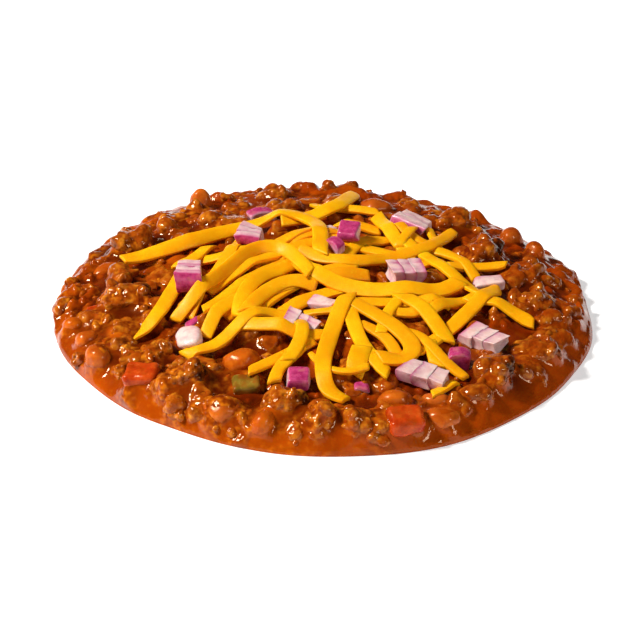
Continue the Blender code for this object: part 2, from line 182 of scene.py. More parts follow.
# Chunks near the rim, where the others leave gaps: place and size.
RIM_MEAT = (
    (13, -75.5, 1.35), (1, -76, 1.2), (-15, -76, 1.2), (27, -74, 1.25), (38, -70, 1.2),
    (-31, -72, 0.9), (-30, -57.5, 1.2), (-46, 52, 1.0), (29, 64, 0.8),
    (43, -66, 1.2), (-62, -25, 1.3), (-76, -14, 0.8), (-77, 5, 0.8), (73, -26, 1.1),
    (75, 8, 1.0), (70, 22, 1.0), (-52, -48, 1.1), (54, -51, 1.0),
    (79, -8, 1.1), (77, -19, 1.1), (70, -36, 1.0), (-46, -62, 1.0), (-67, -38, 0.9),
    (-22, -71, 1.1), (-37, -64, 1.0), (20, -71, 1.1), (6, -74, 1.2), (-7, -76, 1.1),
    (19, -76, 1.1), (-24, -73, 1.1), (33, -73, 1.1), (-36, -69, 1.0),
    (-43, -67, 0.7), (-55, -56, 0.8), (-71, -22, 0.8),
)
RIM_SUNK = 0.9

# Loose crumbs of meat on the sauce, in clusters.
CRUMB_COUNT = 420
CRUMBS_TOGETHER = 6
CLUSTER_REACH = 0.9
CRUMB_SPREAD = 3.0
CRUMB_REACH = 0.86
CRUMB_SIZES = (0.6, 1.9)
CRUMB_STRETCH = (0.7, 1.3)

# Square maps of heights over the chili.
CELL = 0.5
MAP_HALF = 95.0
ABOVE_ALL = 60.0

# Shreds, as in the CAD model but as thick as they look. They rest on the pieces with a
# gap, sink a little into each other and lean to the side that is lower.
GAP = 0.35
DICE_OVERHANG = 1.2
SHRED_THICKNESS = 1.15
SHRED_WIDENING = 1.07
SHRED_MELD = 0.75
SHRED_STEP = 0.75
SHRED_END = 3.5
SHRED_TAPER = 0.4
SHRED_SLANT = 1.2
SHRED_CUP = 0.22
SHRED_STIFFNESS = 140
ROUTE_EASING = 25
LEAN_EASING = 30
ROLL_EASING = 20
SHRED_ACROSS = (-0.8, -0.4, 0.0, 0.4, 0.8)
STEEPEST_LEAN = math.radians(30)
LEAN_SHARE = 0.6
BURIED_SHREDS = 12

# Each shred's width, points along its middle and, unless it lies flat, its roll in degrees
# along it, in the order in which they fell. The first lie buried under the others. A
# positive roll turns the upper side to the right of the way the shred runs.
SHREDS = (
    (4.8, ((-30, -18), (-17, -2.5), (-4, 11), (3, 19))),
    (4.8, ((-20, -24), (-12, -12.5), (0, -2.5), (12, 0.5))),
    (4.6, ((-34, 1.5), (-20, 7), (-5, 9), (8, 13)), (10,)),
    (4.6, ((-14, -28), (-2, -16), (10, -10.5), (24, -8.5))),
    (4.6, ((-36, -14), (-22, 2), (-6, 14), (8, 22)), (10,)),
    (4.4, ((-30, -28), (-16, -14), (0, -6), (16, -2)), (15,)),
    (4.2, ((-10, 22), (6, 20), (22, 14), (34, 6)), (10,)),
    (4.0, ((4, -24), (16, -20), (30, -20), (42, -18)), (15,)),
    (3.8, ((-20, 14), (-4, 20), (12, 28)), (10,)),
    (3.6, ((10, -30), (20, -38), (24, -48))),
    (3.4, ((24, 36), (30, 26), (40, 20))),
    (4.8, ((-40, -10.5), (-28, 3.5), (-14, 17), (-2, 25))),
    (3.0, ((2, 50), (9, 48.5), (20, 45.5)), (15,)),
    (3.0, ((-2, 55), (1, 48.5), (4, 44.5))),
    (3.6, ((-48, 11), (-35, 10), (-19, 11)), (15,)),
    (3.2, ((42, 5.5), (52, 8), (61, 9)), (15,)),
    (3.4, ((35, 19), (44, 13), (51, 1.5))),
    (2.6, ((36, 35.5), (37, 30.5), (39, 22))),
    (3.6, ((5, 36.5), (13, 35.5), (20, 32.5)), (15,)),
    (3.8, ((7, 6), (9, 12), (14, 21), (23, 25)), (0, 20)),
    (3.2, ((21, -25), (29, -26), (36, -22)), (10,)),
    (3.6, ((35, -25), (42, -18), (50, -9.5))),
    (2.6, ((-5, -24), (1, -25), (6, -26))),
    (4.0, ((-37, -27), (-29, -17), (-21, -7.5))),
    (4.2, ((-36, -36), (-32, -27), (-25, -19))),
    (4.4, ((-27, -34), (-16, -37.5), (-6, -39.5), (2, -37.5)), (15,)),
    (4.6, ((-6, 5.5), (-18, -6.5), (-24, -18), (-26, -30)), (-15, 0)),
    (4.6, ((-1, -10.5), (-10, -9.5), (-18, -17), (-23, -29)), (-20, -15, 0)),
    (4.6, ((-24, 26), (-30, 8), (-36, -9.5), (-42, -23))),
    (4.4, ((-36, 21), (-44, 3.5), (-48, -12.5), (-53, -27), (-58, -30))),
    (4.6, ((47, -12.5), (58, -17), (68, -23)), (20,)),
    (4.4, ((19, 43.5), (23, 28.5), (29, 15))),
    (4.2, ((27, 23), (38, 7), (48, -7.5), (53, -12.5))),
    (4.0, ((-7, 10), (9, 2.5), (23, 9), (36, 18), (45, 35.5)), (30, 25, 15, 0)),
    (3.0, ((31, 30.5), (29, 25), (26, 18))),
    (3.6, ((30, -10.5), (22, -25), (19, -37.5))),
    (4.6, ((58, -4.5), (47, -22), (36, -37.5), (28, -48.5))),
    (4.0, ((34, -38.5), (35, -45.5), (36, -51.5))),
    (3.4, ((26, -36.5), (31, -37.5), (38, -49.5), (45, -55.5))),
    (4.8, ((26, -17), (35, -28), (40, -38.5))),
    (4.8, ((12, 65), (6, 47.5), (-4, 38.5), (-13, 33.5)), (0, -15, -20)),
    (
        4.8, ((-65, 14), (-43, 24), (-27, 33.5), (-12, 37.5), (-3, 33), (0, 22), (0, 7)),
        (30, 25, 20, 10, 0, 0, 0),
    ),
    (5.0, ((-8, 4.5), (0, -7.5), (18, -14.5), (36, -12.5), (45, -6.5)), (10, 25, 30, 30, 20)),
    (
        4.2, ((-46, -24), (-37, -15), (-25, 3), (-19, 9.5), (-12.5, 9.5), (-7, 1.5), (-3, -7.5)),
        (10, 30, 50, 55, 50, 20, 0),
    ),
    (3.6, ((-22, -57.5), (-13, -49.5), (-2, -41.5)), (10,)),
    (3.8, ((-5, -44.5), (-12, -53.5), (-14, -61))),
    (
        4.0, ((-42, -44.5), (-34, -43), (-23, -33), (-16, -28.5), (-9, -29), (-5.5, -35),
              (-6, -43), (-10, -52)),
        (10, 15, 15, 0, 0, 0, 0, 0),
    ),
    (4.4, ((9, -24), (12, -39.5), (16, -52.5), (21, -59))),
    (6.0, ((13, -48), (12, -53.5), (10.5, -59)), (-10,)),
    (5.0, ((8, -20), (17, -28), (26, -38), (29, -46), (25.5, -53), (18, -54)), (0, 0, 0, 0, 0, -20)),
    (2.2, ((-3, -47.5), (3, -58), (9, -60), (15, -57.5))),
    (4.8, ((9, -18), (4, -35), (1, -52.5), (2, -65), (8, -69))),
    (3.2, ((34, -66), (38, -63), (42, -57))),
)

# Onion dice: which way the outer skin faces, how many layers there are and how purple
# they are. Some show purple on a second side, and some were put on after the cheese.
FRONT, BACK, LEFT, RIGHT, UP = (0, -1, 0), (0, 1, 0), (-1, 0, 0), (1, 0, 0), (0, 0, 1)
ONION_LOOKS = {
    "onion_01": (UP, 1, 1.0),
    "onion_02": (UP, 1, 0.7),
    "onion_03": (BACK, 1, 0.8),
    "onion_04": (FRONT, 2, 0.6),
    "onion_05": (FRONT, 1, 1.0),
    "onion_06": (FRONT, 1, 1.0),
    "onion_07": (UP, 1, 1.0),
    "onion_08": (UP, 1, 0.8),
    "onion_09": (LEFT, 3, 0.8),
    "onion_10": (LEFT, 1, 0.6),
    "onion_11": (UP, 1, 0.7),
    "onion_12": (FRONT, 3, 0.8),
    "onion_13": (UP, 1, 1.0),
    "onion_14": (BACK, 1, 0.1),
    "onion_15": (FRONT, 2, 1.0),
    "onion_16": (LEFT, 3, 0.9),
    "onion_17": (UP, 1, 1.0),
    "onion_18": (RIGHT, 3, 1.0),
    "onion_19": (LEFT, 3, 0.9),
    "onion_20": (FRONT, 1, 1.0),
}
SECOND_SKIN = {"onion_20": UP, "onion_13": FRONT, "onion_17": FRONT, "onion_06": UP}
LATER_ONIONS = (
    "onion_03", "onion_05", "onion_06", "onion_07", "onion_12", "onion_15",
    "onion_16", "onion_17", "onion_18", "onion_19", "onion_20",
)
MOST_LIFT = 3.5

# Their layers: how they overlap, bow and slip, and how deep the purple goes.
SLAB_CUTS = 12
LAYER_OVERLAP = 1.12
LAYER_BOW = 0.14
LAYER_SLIP = 0.03
LAYER_TRIM = 0.16
ASKEW = 0.13
ONION_EDGE = 0.9
ONION_BUMP = 0.35
ONION_BUMP_SIZE = 3.0
ONION_STREAK = (0.15, 0.15, 1.1)
PALE = 0.2
PALE_ASKEW = 0.22
PALE_EDGE = 2.8
SKIN_DEPTH = 0.9
SKIN_MARGIN = 0.45
BLUSH_DEPTH = 2.5
SECOND_SKIN_DEPTH = 0.8

# The stage, in metres.
FLOOR_HALF = 6.0
FLOOR_DROP = 0.0002
CAMERA_DISTANCE = 0.9
CAMERA_ELEVATION = math.radians(30)
CAMERA_AIM = 0.0045
LENS_SHIFT = 0.003125


# ---- surfaces as arrays ----


def unpacked(mesh):
    """The points and faces of a bmesh, which is freed."""
    points = np.array([v.co for v in mesh.verts])
    faces = [[v.index for v in face.verts] for face in mesh.faces]
    mesh.free()
    return points, faces


def node_surface(name):
    """A node's points in millimetres and its triangles, with shared corners."""
    mesh = bmesh.new()
    mesh.from_mesh(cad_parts[name].data)
    bmesh.ops.remove_doubles(mesh, verts=mesh.verts, dist=WELD * MM)
    bmesh.ops.triangulate(mesh, faces=mesh.faces)
    mesh.verts.index_update()
    points, faces = unpacked(mesh)
    return points / MM, faces


def joined(surfaces):
    """Several surfaces as one."""
    points, faces, start = [], [], 0
    for part, part_faces in surfaces:
        points.append(part)
        faces += [[index + start for index in face] for face in part_faces]
        start += len(part)
    return np.concatenate(points), faces


def as_mesh(name, points, faces):
    """A mesh in metres from points in millimetres."""
    mesh = bpy.data.meshes.new(name)
    mesh.from_pydata((np.asarray(points) * MM).tolist(), [], faces)
    mesh.update()
    return mesh


def add_object(name, data):
    """A new object in the scene."""
    thing = bpy.data.objects.new(name, data)
    bpy.context.scene.collection.objects.link(thing)
    return thing


def edges_of(faces):
    """Every edge once, as two arrays of point numbers."""
    pairs = {tuple(sorted(p)) for f in faces for p in zip(f, [*f[1:], f[0]])}
    both = np.array(sorted(pairs))
    return both[:, 0], both[:, 1]


def relaxed(points, edges, times, inflate=0.0):
    """Evens the surface out. Inflate near 1 keeps it from shrinking."""
    ends = np.concatenate(edges)
    starts = np.concatenate(edges[::-1])
    count = np.bincount(ends, minlength=len(points))
    shares = (0.6, -0.6 * inflate) if inflate else (0.6,)
    for _ in range(times):
        for share in shares:
            total = [np.bincount(ends, points[starts, k], len(points)) / count for k in range(3)]
            points = points + share * (np.stack(total, -1) - points)
    return points


def normals_of(points, faces):
    """Unit normals at the points of a surface."""
    mesh = as_mesh("measure", points, faces)
    normals = np.zeros(len(points) * 3)
    mesh.vertices.foreach_get("normal", normals)
    bpy.data.meshes.remove(mesh)
    return normals.reshape(-1, 3)


def one_skin(points, faces, voxel):
    """One closed skin of small squares round surfaces that may cross each other."""
    helper = add_object("helper", as_mesh("helper", points, faces))
    remesh = helper.modifiers.new("skin", "REMESH")
    remesh.mode = "VOXEL"
    remesh.voxel_size = voxel * MM
    evaluated = helper.evaluated_get(bpy.context.evaluated_depsgraph_get())
    mesh = evaluated.to_mesh()
    skin = np.zeros(len(mesh.vertices) * 3)
    mesh.vertices.foreach_get("co", skin)
    polygons = [list(polygon.vertices) for polygon in mesh.polygons]
    evaluated.to_mesh_clear()
    source = helper.data
    bpy.data.objects.remove(helper)
    bpy.data.meshes.remove(source)
    return skin.reshape(-1, 3) / MM, polygons


def wave(point, size, seed=0.0):
    """Smooth noise between about -1 and 1 at a point, with features of a size."""
    return noise.noise(Vector(point) / size + Vector((seed, 2.7 * seed, -1.3 * seed)))


def waves(points, size, seed=0.0):
    """The same noise at many points."""
    return np.array([wave(point, size, seed) for point in points])


def ball(rings):
    """A unit ball of even triangles."""
    mesh = bmesh.new()
    bmesh.ops.create_icosphere(mesh, subdivisions=rings, radius=1)
    return unpacked(mesh)


# ---- the sauce's level ----


def rim_radius(angle):
    """The round's radius, which is slightly oval with slight corners."""
    oval = RIM_OVAL * np.cos(2 * (angle + RIM_OVAL_TURN))
    corners = RIM_CORNERS * np.cos(4 * (angle - RIM_CORNER_TURN))
    return RIM_RADIUS * (1 + oval + corners)


def random_place(rng, reach):
    """A random place on the round, up to a share of the way out."""
    angle, out = rng.uniform(0, 2 * math.pi), math.sqrt(rng.random()) * reach
    radius = out * rim_radius(angle)
    return radius * math.cos(angle), radius * math.sin(angle)


def share_out(x, y):
    """0 in the middle of the round and 1 at its rim."""
    return np.hypot(x, y) / rim_radius(np.arctan2(y, x))


def climb(value, start, width):
    """0 up to a start, and 1 from a width further on."""
    return np.clip((value - start) / width, 0, 1)


def calm_height(out, lip):
    """Height of the calm sauce some share of the way out, where the lip is so full."""
    sag = LIP_SAG * climb(out, SAG_START, 1 - SAG_START) ** 2
    return (LIP_HEIGHT - sag) * lip + CROWN_HEIGHT * (1 - out**2)


def sauce_level(x, y):
    """Height of the calm sauce, without its lumps."""
    out = np.minimum(share_out(x, y), 1.0)
    inward = np.minimum((1 - out) * RIM_RADIUS / LIP_WIDTH, 1.0)
    return calm_height(out, (1 - (1 - inward) ** LIP_POWER) ** (1 / LIP_POWER))


# ---- maps of heights ----


class HeightMap:
    """Heights over square cells."""

    def __init__(self):
        line = np.arange(-MAP_HALF, MAP_HALF + CELL, CELL)
        self.x, self.y = np.meshgrid(line, line, indexing="ij")
        self.height = np.zeros(self.x.shape)

    def window(self, low_x, high_x, low_y, high_y):
        """The block of cells that covers a box."""
        bounds = []
        for low, high in ((low_x, high_x), (low_y, high_y)):
            first = max(math.floor((low + MAP_HALF) / CELL), 0)
            bounds.append(slice(first, math.ceil((high + MAP_HALF) / CELL) + 1))
        return tuple(bounds)

    def add_surface(self, points, faces):
        """Raises the map to the top of a surface."""
        tree = BVHTree.FromPolygons(points.tolist(), faces)
        low, high = points.min(0), points.max(0)
        block = self.window(low[0], high[0], low[1], high[1])
        heights = self.height[block]
        for cell, x in np.ndenumerate(self.x[block]):
            above = Vector((x, self.y[block][cell], ABOVE_ALL))
            hit = tree.ray_cast(above, Vector((0, 0, -1)))[0]
            if hit is not None:
                heights[cell] = max(heights[cell], hit.z)

    def under(self, footprint, margin):
        """The block of cells round a turned rectangle, and which of them it covers."""
        x, y, length, width, turn = footprint
        reach = math.hypot(length, width) / 2 + margin
        block = self.window(x - reach, x + reach, y - reach, y + reach)
        dx, dy = self.x[block] - x, self.y[block] - y
        along = np.abs(dx * math.cos(turn) + dy * math.sin(turn))
        across = np.abs(dy * math.cos(turn) - dx * math.sin(turn))
        covered = (along <= length / 2 + margin) & (across <= width / 2 + margin)
        return block, covered

    def top(self, footprint, margin):
        """The greatest height under a rectangle that is wider by a margin."""
        block, covered = self.under(footprint, margin)
        return float(self.height[block][covered].max(initial=0.0))

    def raise_to(self, footprint, top):
        """Raises what lies under a rectangle to a height."""
        block, covered = self.under(footprint, CELL / 2)
        heights = self.height[block]
        heights[covered] = np.maximum(heights[covered], top)


def blurred(grid, reach):
    """A map's values, spread by a bell curve of that reach."""
    half = math.ceil(3 * reach / CELL)
    offsets = np.arange(-half, half + 1)
    bell = np.exp(-0.5 * (offsets * CELL / reach) ** 2)
    bell /= bell.sum()
    for axis in (0, 1):
        grid = sum(share * np.roll(grid, offset, axis) for share, offset in zip(bell, offsets))
    return grid


def sampled(grid, x, y):
    """A map's values at any points, between its cells."""
    i, j = (x + MAP_HALF) / CELL, (y + MAP_HALF) / CELL
    i0, j0 = np.floor(i).astype(int), np.floor(j).astype(int)
    a, b = i - i0, j - j0
    near = grid[i0, j0] * (1 - a) + grid[i0 + 1, j0] * a
    far = grid[i0, j0 + 1] * (1 - a) + grid[i0 + 1, j0 + 1] * a
    return near * (1 - b) + far * b


# ---- materials ----


class Shader:
    """A Principled material that is wired step by step."""

    def __init__(self, name, **constants):
        self.material = bpy.data.materials.new(name)
        self.material.use_nodes = True
        self.tree = self.material.node_tree
        self.surface = self.tree.nodes["Principled BSDF"]
        for key, value in constants.items():
            self.surface.inputs[key.replace("_", " ")].default_value = value
        self.place = self.add("TexCoord").outputs["Object"]

    def plug(self, value, socket):
        if isinstance(value, bpy.types.NodeSocket):
            self.tree.links.new(value, socket)
        else:
            socket.default_value = value

    def add(self, kind, inputs=(), **settings):
        """A node with its settings, and with values or sockets plugged in."""
        node = self.tree.nodes.new("ShaderNode" + kind)
        for key, value in settings.items():
            setattr(node, key, value)
        for key, value in dict(inputs).items():
            self.plug(value, node.inputs[key])
        return node

    def noise(self, size, detail):
        """Cloudy values from 0 to 1 with features of a size in millimetres."""
        inputs = {"Vector": self.place, "Scale": 1 / (size * MM), "Detail": detail}
        return self.add("TexNoise", inputs).outputs["Fac"]

    def attribute(self, name):
        return self.add("Attribute", attribute_name=name).outputs["Fac"]

    def ramp(self, value, *stops):
        """Colours at stops of a value: the lowest, the highest, then any between."""
        node = self.add("ValToRGB", {"Fac": value})
        elements = node.color_ramp.elements
        for k, (position, colour) in enumerate(stops):
            element = elements[k] if k < 2 else elements.new(position)
            element.position = position
            element.color = (*colour, 1)
        return node.outputs["Color"]

    def spread(self, value, low, high, start=0.3, end=0.7):
        """Maps a value from start-end to low-high."""
        limits = {"From Min": start, "From Max": end, "To Min": low, "To Max": high}
        return self.add("MapRange", {"Value": value, **limits}).outputs["Result"]

    def mix(self, share, first, second):
        """Two colours, or sockets that carry them, blended by a share of the second."""
        first, second = ((*c, 1) if isinstance(c, tuple) else c for c in (first, second))
        inputs = {"Factor": share, 6: first, 7: second}
        return self.add("Mix", inputs, data_type="RGBA").outputs[2]

    def patches(self, colour, other, size, detail, most, start, end):
        """Blends another colour in where the clouds of a size are dense."""
        share = self.spread(self.noise(size, detail), 0, most, start, end)
        return self.mix(share, colour, other)

    def upward(self):
        """1 where the surface faces up and less where it doesn't."""
        normal = self.add("NewGeometry").outputs["Normal"]
        return self.add("SeparateXYZ", {0: normal}).outputs["Z"]

    def from_left(self, low, high, start, end):
        """Maps places from left to right, in millimetres, to low-high."""
        x = self.add("SeparateXYZ", {0: self.place}).outputs["X"]
        return self.spread(x, low, high, start * MM, end * MM)

    def times(self, first, second):
        return self.add("Math", {0: first, 1: second}, operation="MULTIPLY").outputs[0]

    def plus(self, first, second):
        return self.add("Math", {0: first, 1: second}, operation="ADD").outputs[0]

    def finish(self, colour, rough, bump=None, depth=0.0, strength=0.0):
        """Colour, roughness and bump, whose depth is in millimetres.

        The roughness is given by its clouds' size and detail, and its least and most.
        """
        size, detail, least, most = rough
        self.plug(colour, self.surface.inputs["Base Color"])
        roughness = self.spread(self.noise(size, detail), least, most)
        self.plug(roughness, self.surface.inputs["Roughness"])
        if bump is not None:
            inputs = {"Distance": depth * MM, "Strength": strength, "Height": bump}
            self.plug(self.add("Bump", inputs).outputs["Normal"], self.surface.inputs["Normal"])
        return self.material


GLAZE_TINT = (1.0, 0.74, 0.50, 1.0)
SAUCE_DEEP = (0.16, 0.013, 0.0005)
SAUCE_MID = (0.31, 0.038, 0.0005)
SAUCE_THIN = (0.43, 0.068, 0.001)
SAUCE_LIP_LIGHT = (0.34, 0.046, 0.001)
SAUCE_HOLLOW_SHADE = (0.07, 0.006, 0.0003)
SAUCE_FLECK = (0.22, 0.022, 0.001)
SAUCE_GRAIN = (0.56, 0.14, 0.008)
GLAZED_DEEP, GLAZED_PALE = (0.08, 0.008, 0.001), (0.66, 0.19, 0.006)
GLAZED_MID = (0.29, 0.058, 0.003)
GLAZED_BEAN = (0.50, 0.088, 0.002)
MEAT_DEEP, MEAT_PALE = (0.09, 0.014, 0.0015), (0.76, 0.28, 0.015)
MEAT_MID = (0.36, 0.080, 0.004)
MEAT_SPECK = (0.70, 0.27, 0.03)
CREVICE_SHADE = (0.030, 0.004, 0.001)
BEAN_DEEP, BEAN_PALE = (0.42, 0.062, 0.001), (0.62, 0.130, 0.003)
BEAN_CREAM = (0.62, 0.16, 0.020)
RED_DICE = ((0.60, 0.085, 0.008), (0.50, 0.050, 0.004), (0.32, 0.018, 0.002))
GREEN_DICE = ((0.27, 0.17, 0.018), (0.19, 0.11, 0.010), (0.15, 0.065, 0.006))
ONION_DEEP, ONION_PALE = (0.70, 0.44, 0.42), (0.86, 0.68, 0.60)
PURPLE_DEEP, PURPLE_PALE = (0.34, 0.018, 0.10), (0.54, 0.06, 0.19)
ONION_BLUSH = (0.56, 0.19, 0.32)
ONION_STAIN = (0.62, 0.26, 0.16)
CHEESE_DEEP, CHEESE_PALE = (0.88, 0.36, 0.001), (0.97, 0.47, 0.002)
CHEESE_TONE_AND_SHADE = (0.84, 0.29, 0.002)
CHEESE_SIDE_SHADE = (0.86, 0.25, 0.001)
CHEESE_FAT = (1.0, 0.60, 0.03)


def wet_food(name, weight, bleed, depth, gloss, bending=1.42):
    """A wet surface that light sinks into by a depth and comes out of redder."""
    return Shader(
        name,
        Specular_Tint=GLAZE_TINT,
        Subsurface_Weight=weight,
        Subsurface_Radius=bleed,
        Subsurface_Scale=depth * MM,
        IOR=bending,
        Specular_IOR_Level=gloss,
    )


def shaded_to_right(shader, colour, strength):
    """Darkens a colour towards the right, as painted shade on the side away from the light."""
    return shader.mix(shader.from_left(0.0, strength, -20, 80), colour, SAUCE_DEEP)


def sauce_material():
    shader = wet_food("sauce", 0.2, (1.0, 0.2, 0.03), 1.2, 0.38)
    cloud = shader.noise(14, 3)
    colour = shader.ramp(cloud, (0.32, SAUCE_DEEP), (0.68, SAUCE_THIN), (0.5, SAUCE_MID))
    colour = shader.patches(colour, SAUCE_FLECK, 1.4, 2, 0.45, 0.55, 0.7)
    colour = shader.patches(colour, SAUCE_GRAIN, 2.2, 3, 0.35, 0.58, 0.72)
    grain = shader.noise(2.2, 1)
    glazed = shader.ramp(grain, (0.38, GLAZED_DEEP), (0.66, GLAZED_PALE), (0.5, GLAZED_MID))
    meaty, thin = shader.attribute("meaty"), shader.attribute("thin")
    colour = shader.mix(shader.times(meaty, 0.8), colour, glazed)
    colour = shader.mix(shader.times(shader.attribute("beany"), 0.6), colour, GLAZED_BEAN)
    # Painted shade, darker towards the right.
    colour = shaded_to_right(shader, colour, 0.5)
    # Lighter at the lip: partly the thinner sauce there, partly painted light on the lip's shaded
    # wall, which on the right is a fixed painted light.
    colour = shader.mix(shader.times(thin, 0.3), colour, SAUCE_THIN)
    far = shader.times(thin, shader.from_left(0.0, 0.9, -10, 60))
    colour = shader.mix(far, colour, SAUCE_LIP_LIGHT)
    # Painted shade in the hollows of the sauce, where it dips.
    hollow = shader.spread(shader.attribute("hollow"), 0.0, 0.92, 0.04, 0.8)
    colour = shader.mix(hollow, colour, SAUCE_HOLLOW_SHADE)
    bump = shader.plus(shader.times(shader.noise(1.2, 2), 0.14), shader.times(grain, meaty))
    return shader.finish(colour, (5, 3, 0.06, 0.16), bump, 0.5, 0.8)


def meat_material():
    shader = wet_food("minced_meat", 0.15, (1.0, 0.3, 0.08), 0.9, 0.4, 1.45)
    grain = shader.noise(2.8, 3)
    brown = shader.ramp(grain, (0.3, MEAT_DEEP), (0.72, MEAT_PALE), (0.5, MEAT_MID))
    film = shader.mix(shader.noise(9, 2), SAUCE_MID, SAUCE_THIN)
    coat = shader.spread(shader.noise(7, 3), 0.55, 0.0, 0.38, 0.62)
    colour = shader.mix(coat, brown, film)
    colour = shader.patches(colour, MEAT_SPECK, 0.9, 2, 0.35, 0.64, 0.74)
    low = shader.spread(shader.attribute("rise"), 0.9, 0.0, 0.05, 0.4)
    # Sauce colour on the low parts, and painted shade darker towards the right.
    colour = shaded_to_right(shader, shader.mix(low, colour, SAUCE_MID), 0.35)
    # Painted shade in the crevices of the meat and on the right ends of some chunks.
    hollow = shader.spread(shader.attribute("hollow"), 0.0, 0.95, -0.02, 0.22)
    colour = shader.mix(hollow, colour, CREVICE_SHADE)
    return shader.finish(colour, (2.0, 3, 0.06, 0.2), shader.noise(1.7, 1), 0.4, 0.9)


def bean_material():
    shader = wet_food("kidney_bean", 0.3, (1.0, 0.3, 0.08), 1.6, 0.36)
    skin = shader.ramp(shader.noise(5, 2), (0.35, BEAN_DEEP), (0.65, BEAN_PALE))
    skin = shader.mix(shader.times(shader.attribute("tone"), 0.6), skin, BEAN_CREAM)
    skin = shader.patches(skin, SAUCE_MID, 3.5, 3, 0.6, 0.48, 0.66)
    low = shader.spread(shader.attribute("rise"), 0.9, 0.0, 0.0, 0.6)
    # Sauce colour on the low parts, and painted shade darker towards the right.
    colour = shaded_to_right(shader, shader.mix(low, skin, SAUCE_MID), 0.2)
    return shader.finish(colour, (3, 2, 0.14, 0.3), shader.noise(1.0, 3), 0.08, 0.7)


def dice_material(name, pale, mid, deep):
    """Soft cooked vegetable with a wet skin and smears of sauce."""
    shader = wet_food(name, 0.35, (1.0, 0.3, 0.12), 1.6, 0.36)
    flesh = shader.ramp(shader.noise(4, 3), (0.3, deep), (0.7, pale), (0.5, mid))
    flesh = shader.patches(flesh, SAUCE_MID, 3.0, 3, 0.6, 0.45, 0.65)
    low = shader.spread(shader.attribute("rise"), 0.85, 0.0, 0.0, 0.6)
    colour = shader.mix(low, flesh, SAUCE_MID)
    return shader.finish(colour, (2, 2, 0.14, 0.3), shader.noise(0.9, 3), 0.12, 0.8)


def onion_material():
    shader = Shader(
        "red_onion",
        Subsurface_Weight=0.45,
        Subsurface_Radius=(1.0, 0.6, 0.6),
        Subsurface_Scale=1.3 * MM,
        IOR=1.42,
    )
    flesh = shader.ramp(shader.noise(3.0, 2), (0.35, ONION_DEEP), (0.65, ONION_PALE))
    skin = shader.ramp(shader.noise(1.6, 3), (0.3, PURPLE_DEEP), (0.7, PURPLE_PALE))
    purple = shader.attribute("purple")
    blush = shader.mix(shader.spread(purple, 0, 0.75, 0.0, 0.5), flesh, ONION_BLUSH)
    colour = shader.mix(shader.spread(purple, 0, 1, 0.4, 0.85), blush, skin)
    colour = shader.patches(colour, ONION_STAIN, 3, 2, 0.3, 0.55, 0.7)
    return shader.finish(colour, (2, 2, 0.16, 0.34), shader.noise(0.6, 2), 0.05, 0.6)


def cheese_material():
    shader = wet_food("cheddar", 0.5, (1.0, 0.40, 0.03), 1.4, 0.35)
    body = shader.ramp(shader.noise(6, 3), (0.3, CHEESE_DEEP), (0.7, CHEESE_PALE))
    # Tone varies at random, and the buried shreds get painted shade, a deeper orange.
    tone = shader.spread(shader.attribute("tone"), 0.0, 0.8, 0.0, 1.0)
    colour = shader.mix(tone, body, CHEESE_TONE_AND_SHADE)
    # Painted shade: a deeper orange on the sides and undersides of the shreds.
    side = shader.spread(shader.upward(), 0.15, 0.0, 0.0, 0.7)
    colour = shader.mix(side, colour, CHEESE_SIDE_SHADE)
    colour = shader.patches(colour, CHEESE_FAT, 0.8, 2, 0.3, 0.6, 0.75)
    return shader.finish(colour, (1.5, 3, 0.34, 0.52), shader.noise(0.6, 4), 0.08, 0.8)


# ---- pieces ----


def add_piece(name, surface, material, slot, nodes=(), **attributes):
    """A smooth piece of the chili from points in millimetres, which rides on the body."""
    mesh = as_mesh(name, *surface)
    mesh.polygons.foreach_set("use_smooth", [True] * len(mesh.polygons))
    for key, values in attributes.items():
        layer = mesh.attributes.new(key, "FLOAT", "POINT")
        layer.data.foreach_set("value", np.asarray(values, np.float32))
    mesh.materials.append(material)
    piece = add_object(name, mesh)
    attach(piece, "root")
    if nodes:
        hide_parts(*nodes)


def rise_of(points, sauce, reach=4.0, at_level=0.25):
    """How far points stand out of the sauce: a share at its surface, and 1 well above it."""
    above = points[:, 2] - sampled(sauce, points[:, 0], points[:, 1])
    return np.clip(above / reach + at_level, 0, 1)


def facets(points, faces):
    """Twice the area of each triangle, and its unit normal."""
    corners = points[np.array(faces)]
    cross = np.cross(corners[:, 1] - corners[:, 0], corners[:, 2] - corners[:, 0])
    area = np.linalg.norm(cross, axis=1)
    return area, cross / area[:, None]


def spots_on(points, faces, count, rng):
    """Random places on a surface with their normals."""
    area, normals = facets(points, faces)
    chosen = rng.choice(len(faces), count, p=area / area.sum())
    a, b = rng.random((2, count))
    a, b = np.where(a + b > 1, (1 - a, 1 - b), (a, b))
    start, along, across = points[np.array(faces)][chosen].transpose(1, 0, 2)
    spots = start + (along - start) * a[:, None] + (across - start) * b[:, None]
    return spots, normals[chosen]


def no_sauce(x, y):
    """A level for what is made away from the sauce."""
    return -ABOVE_ALL


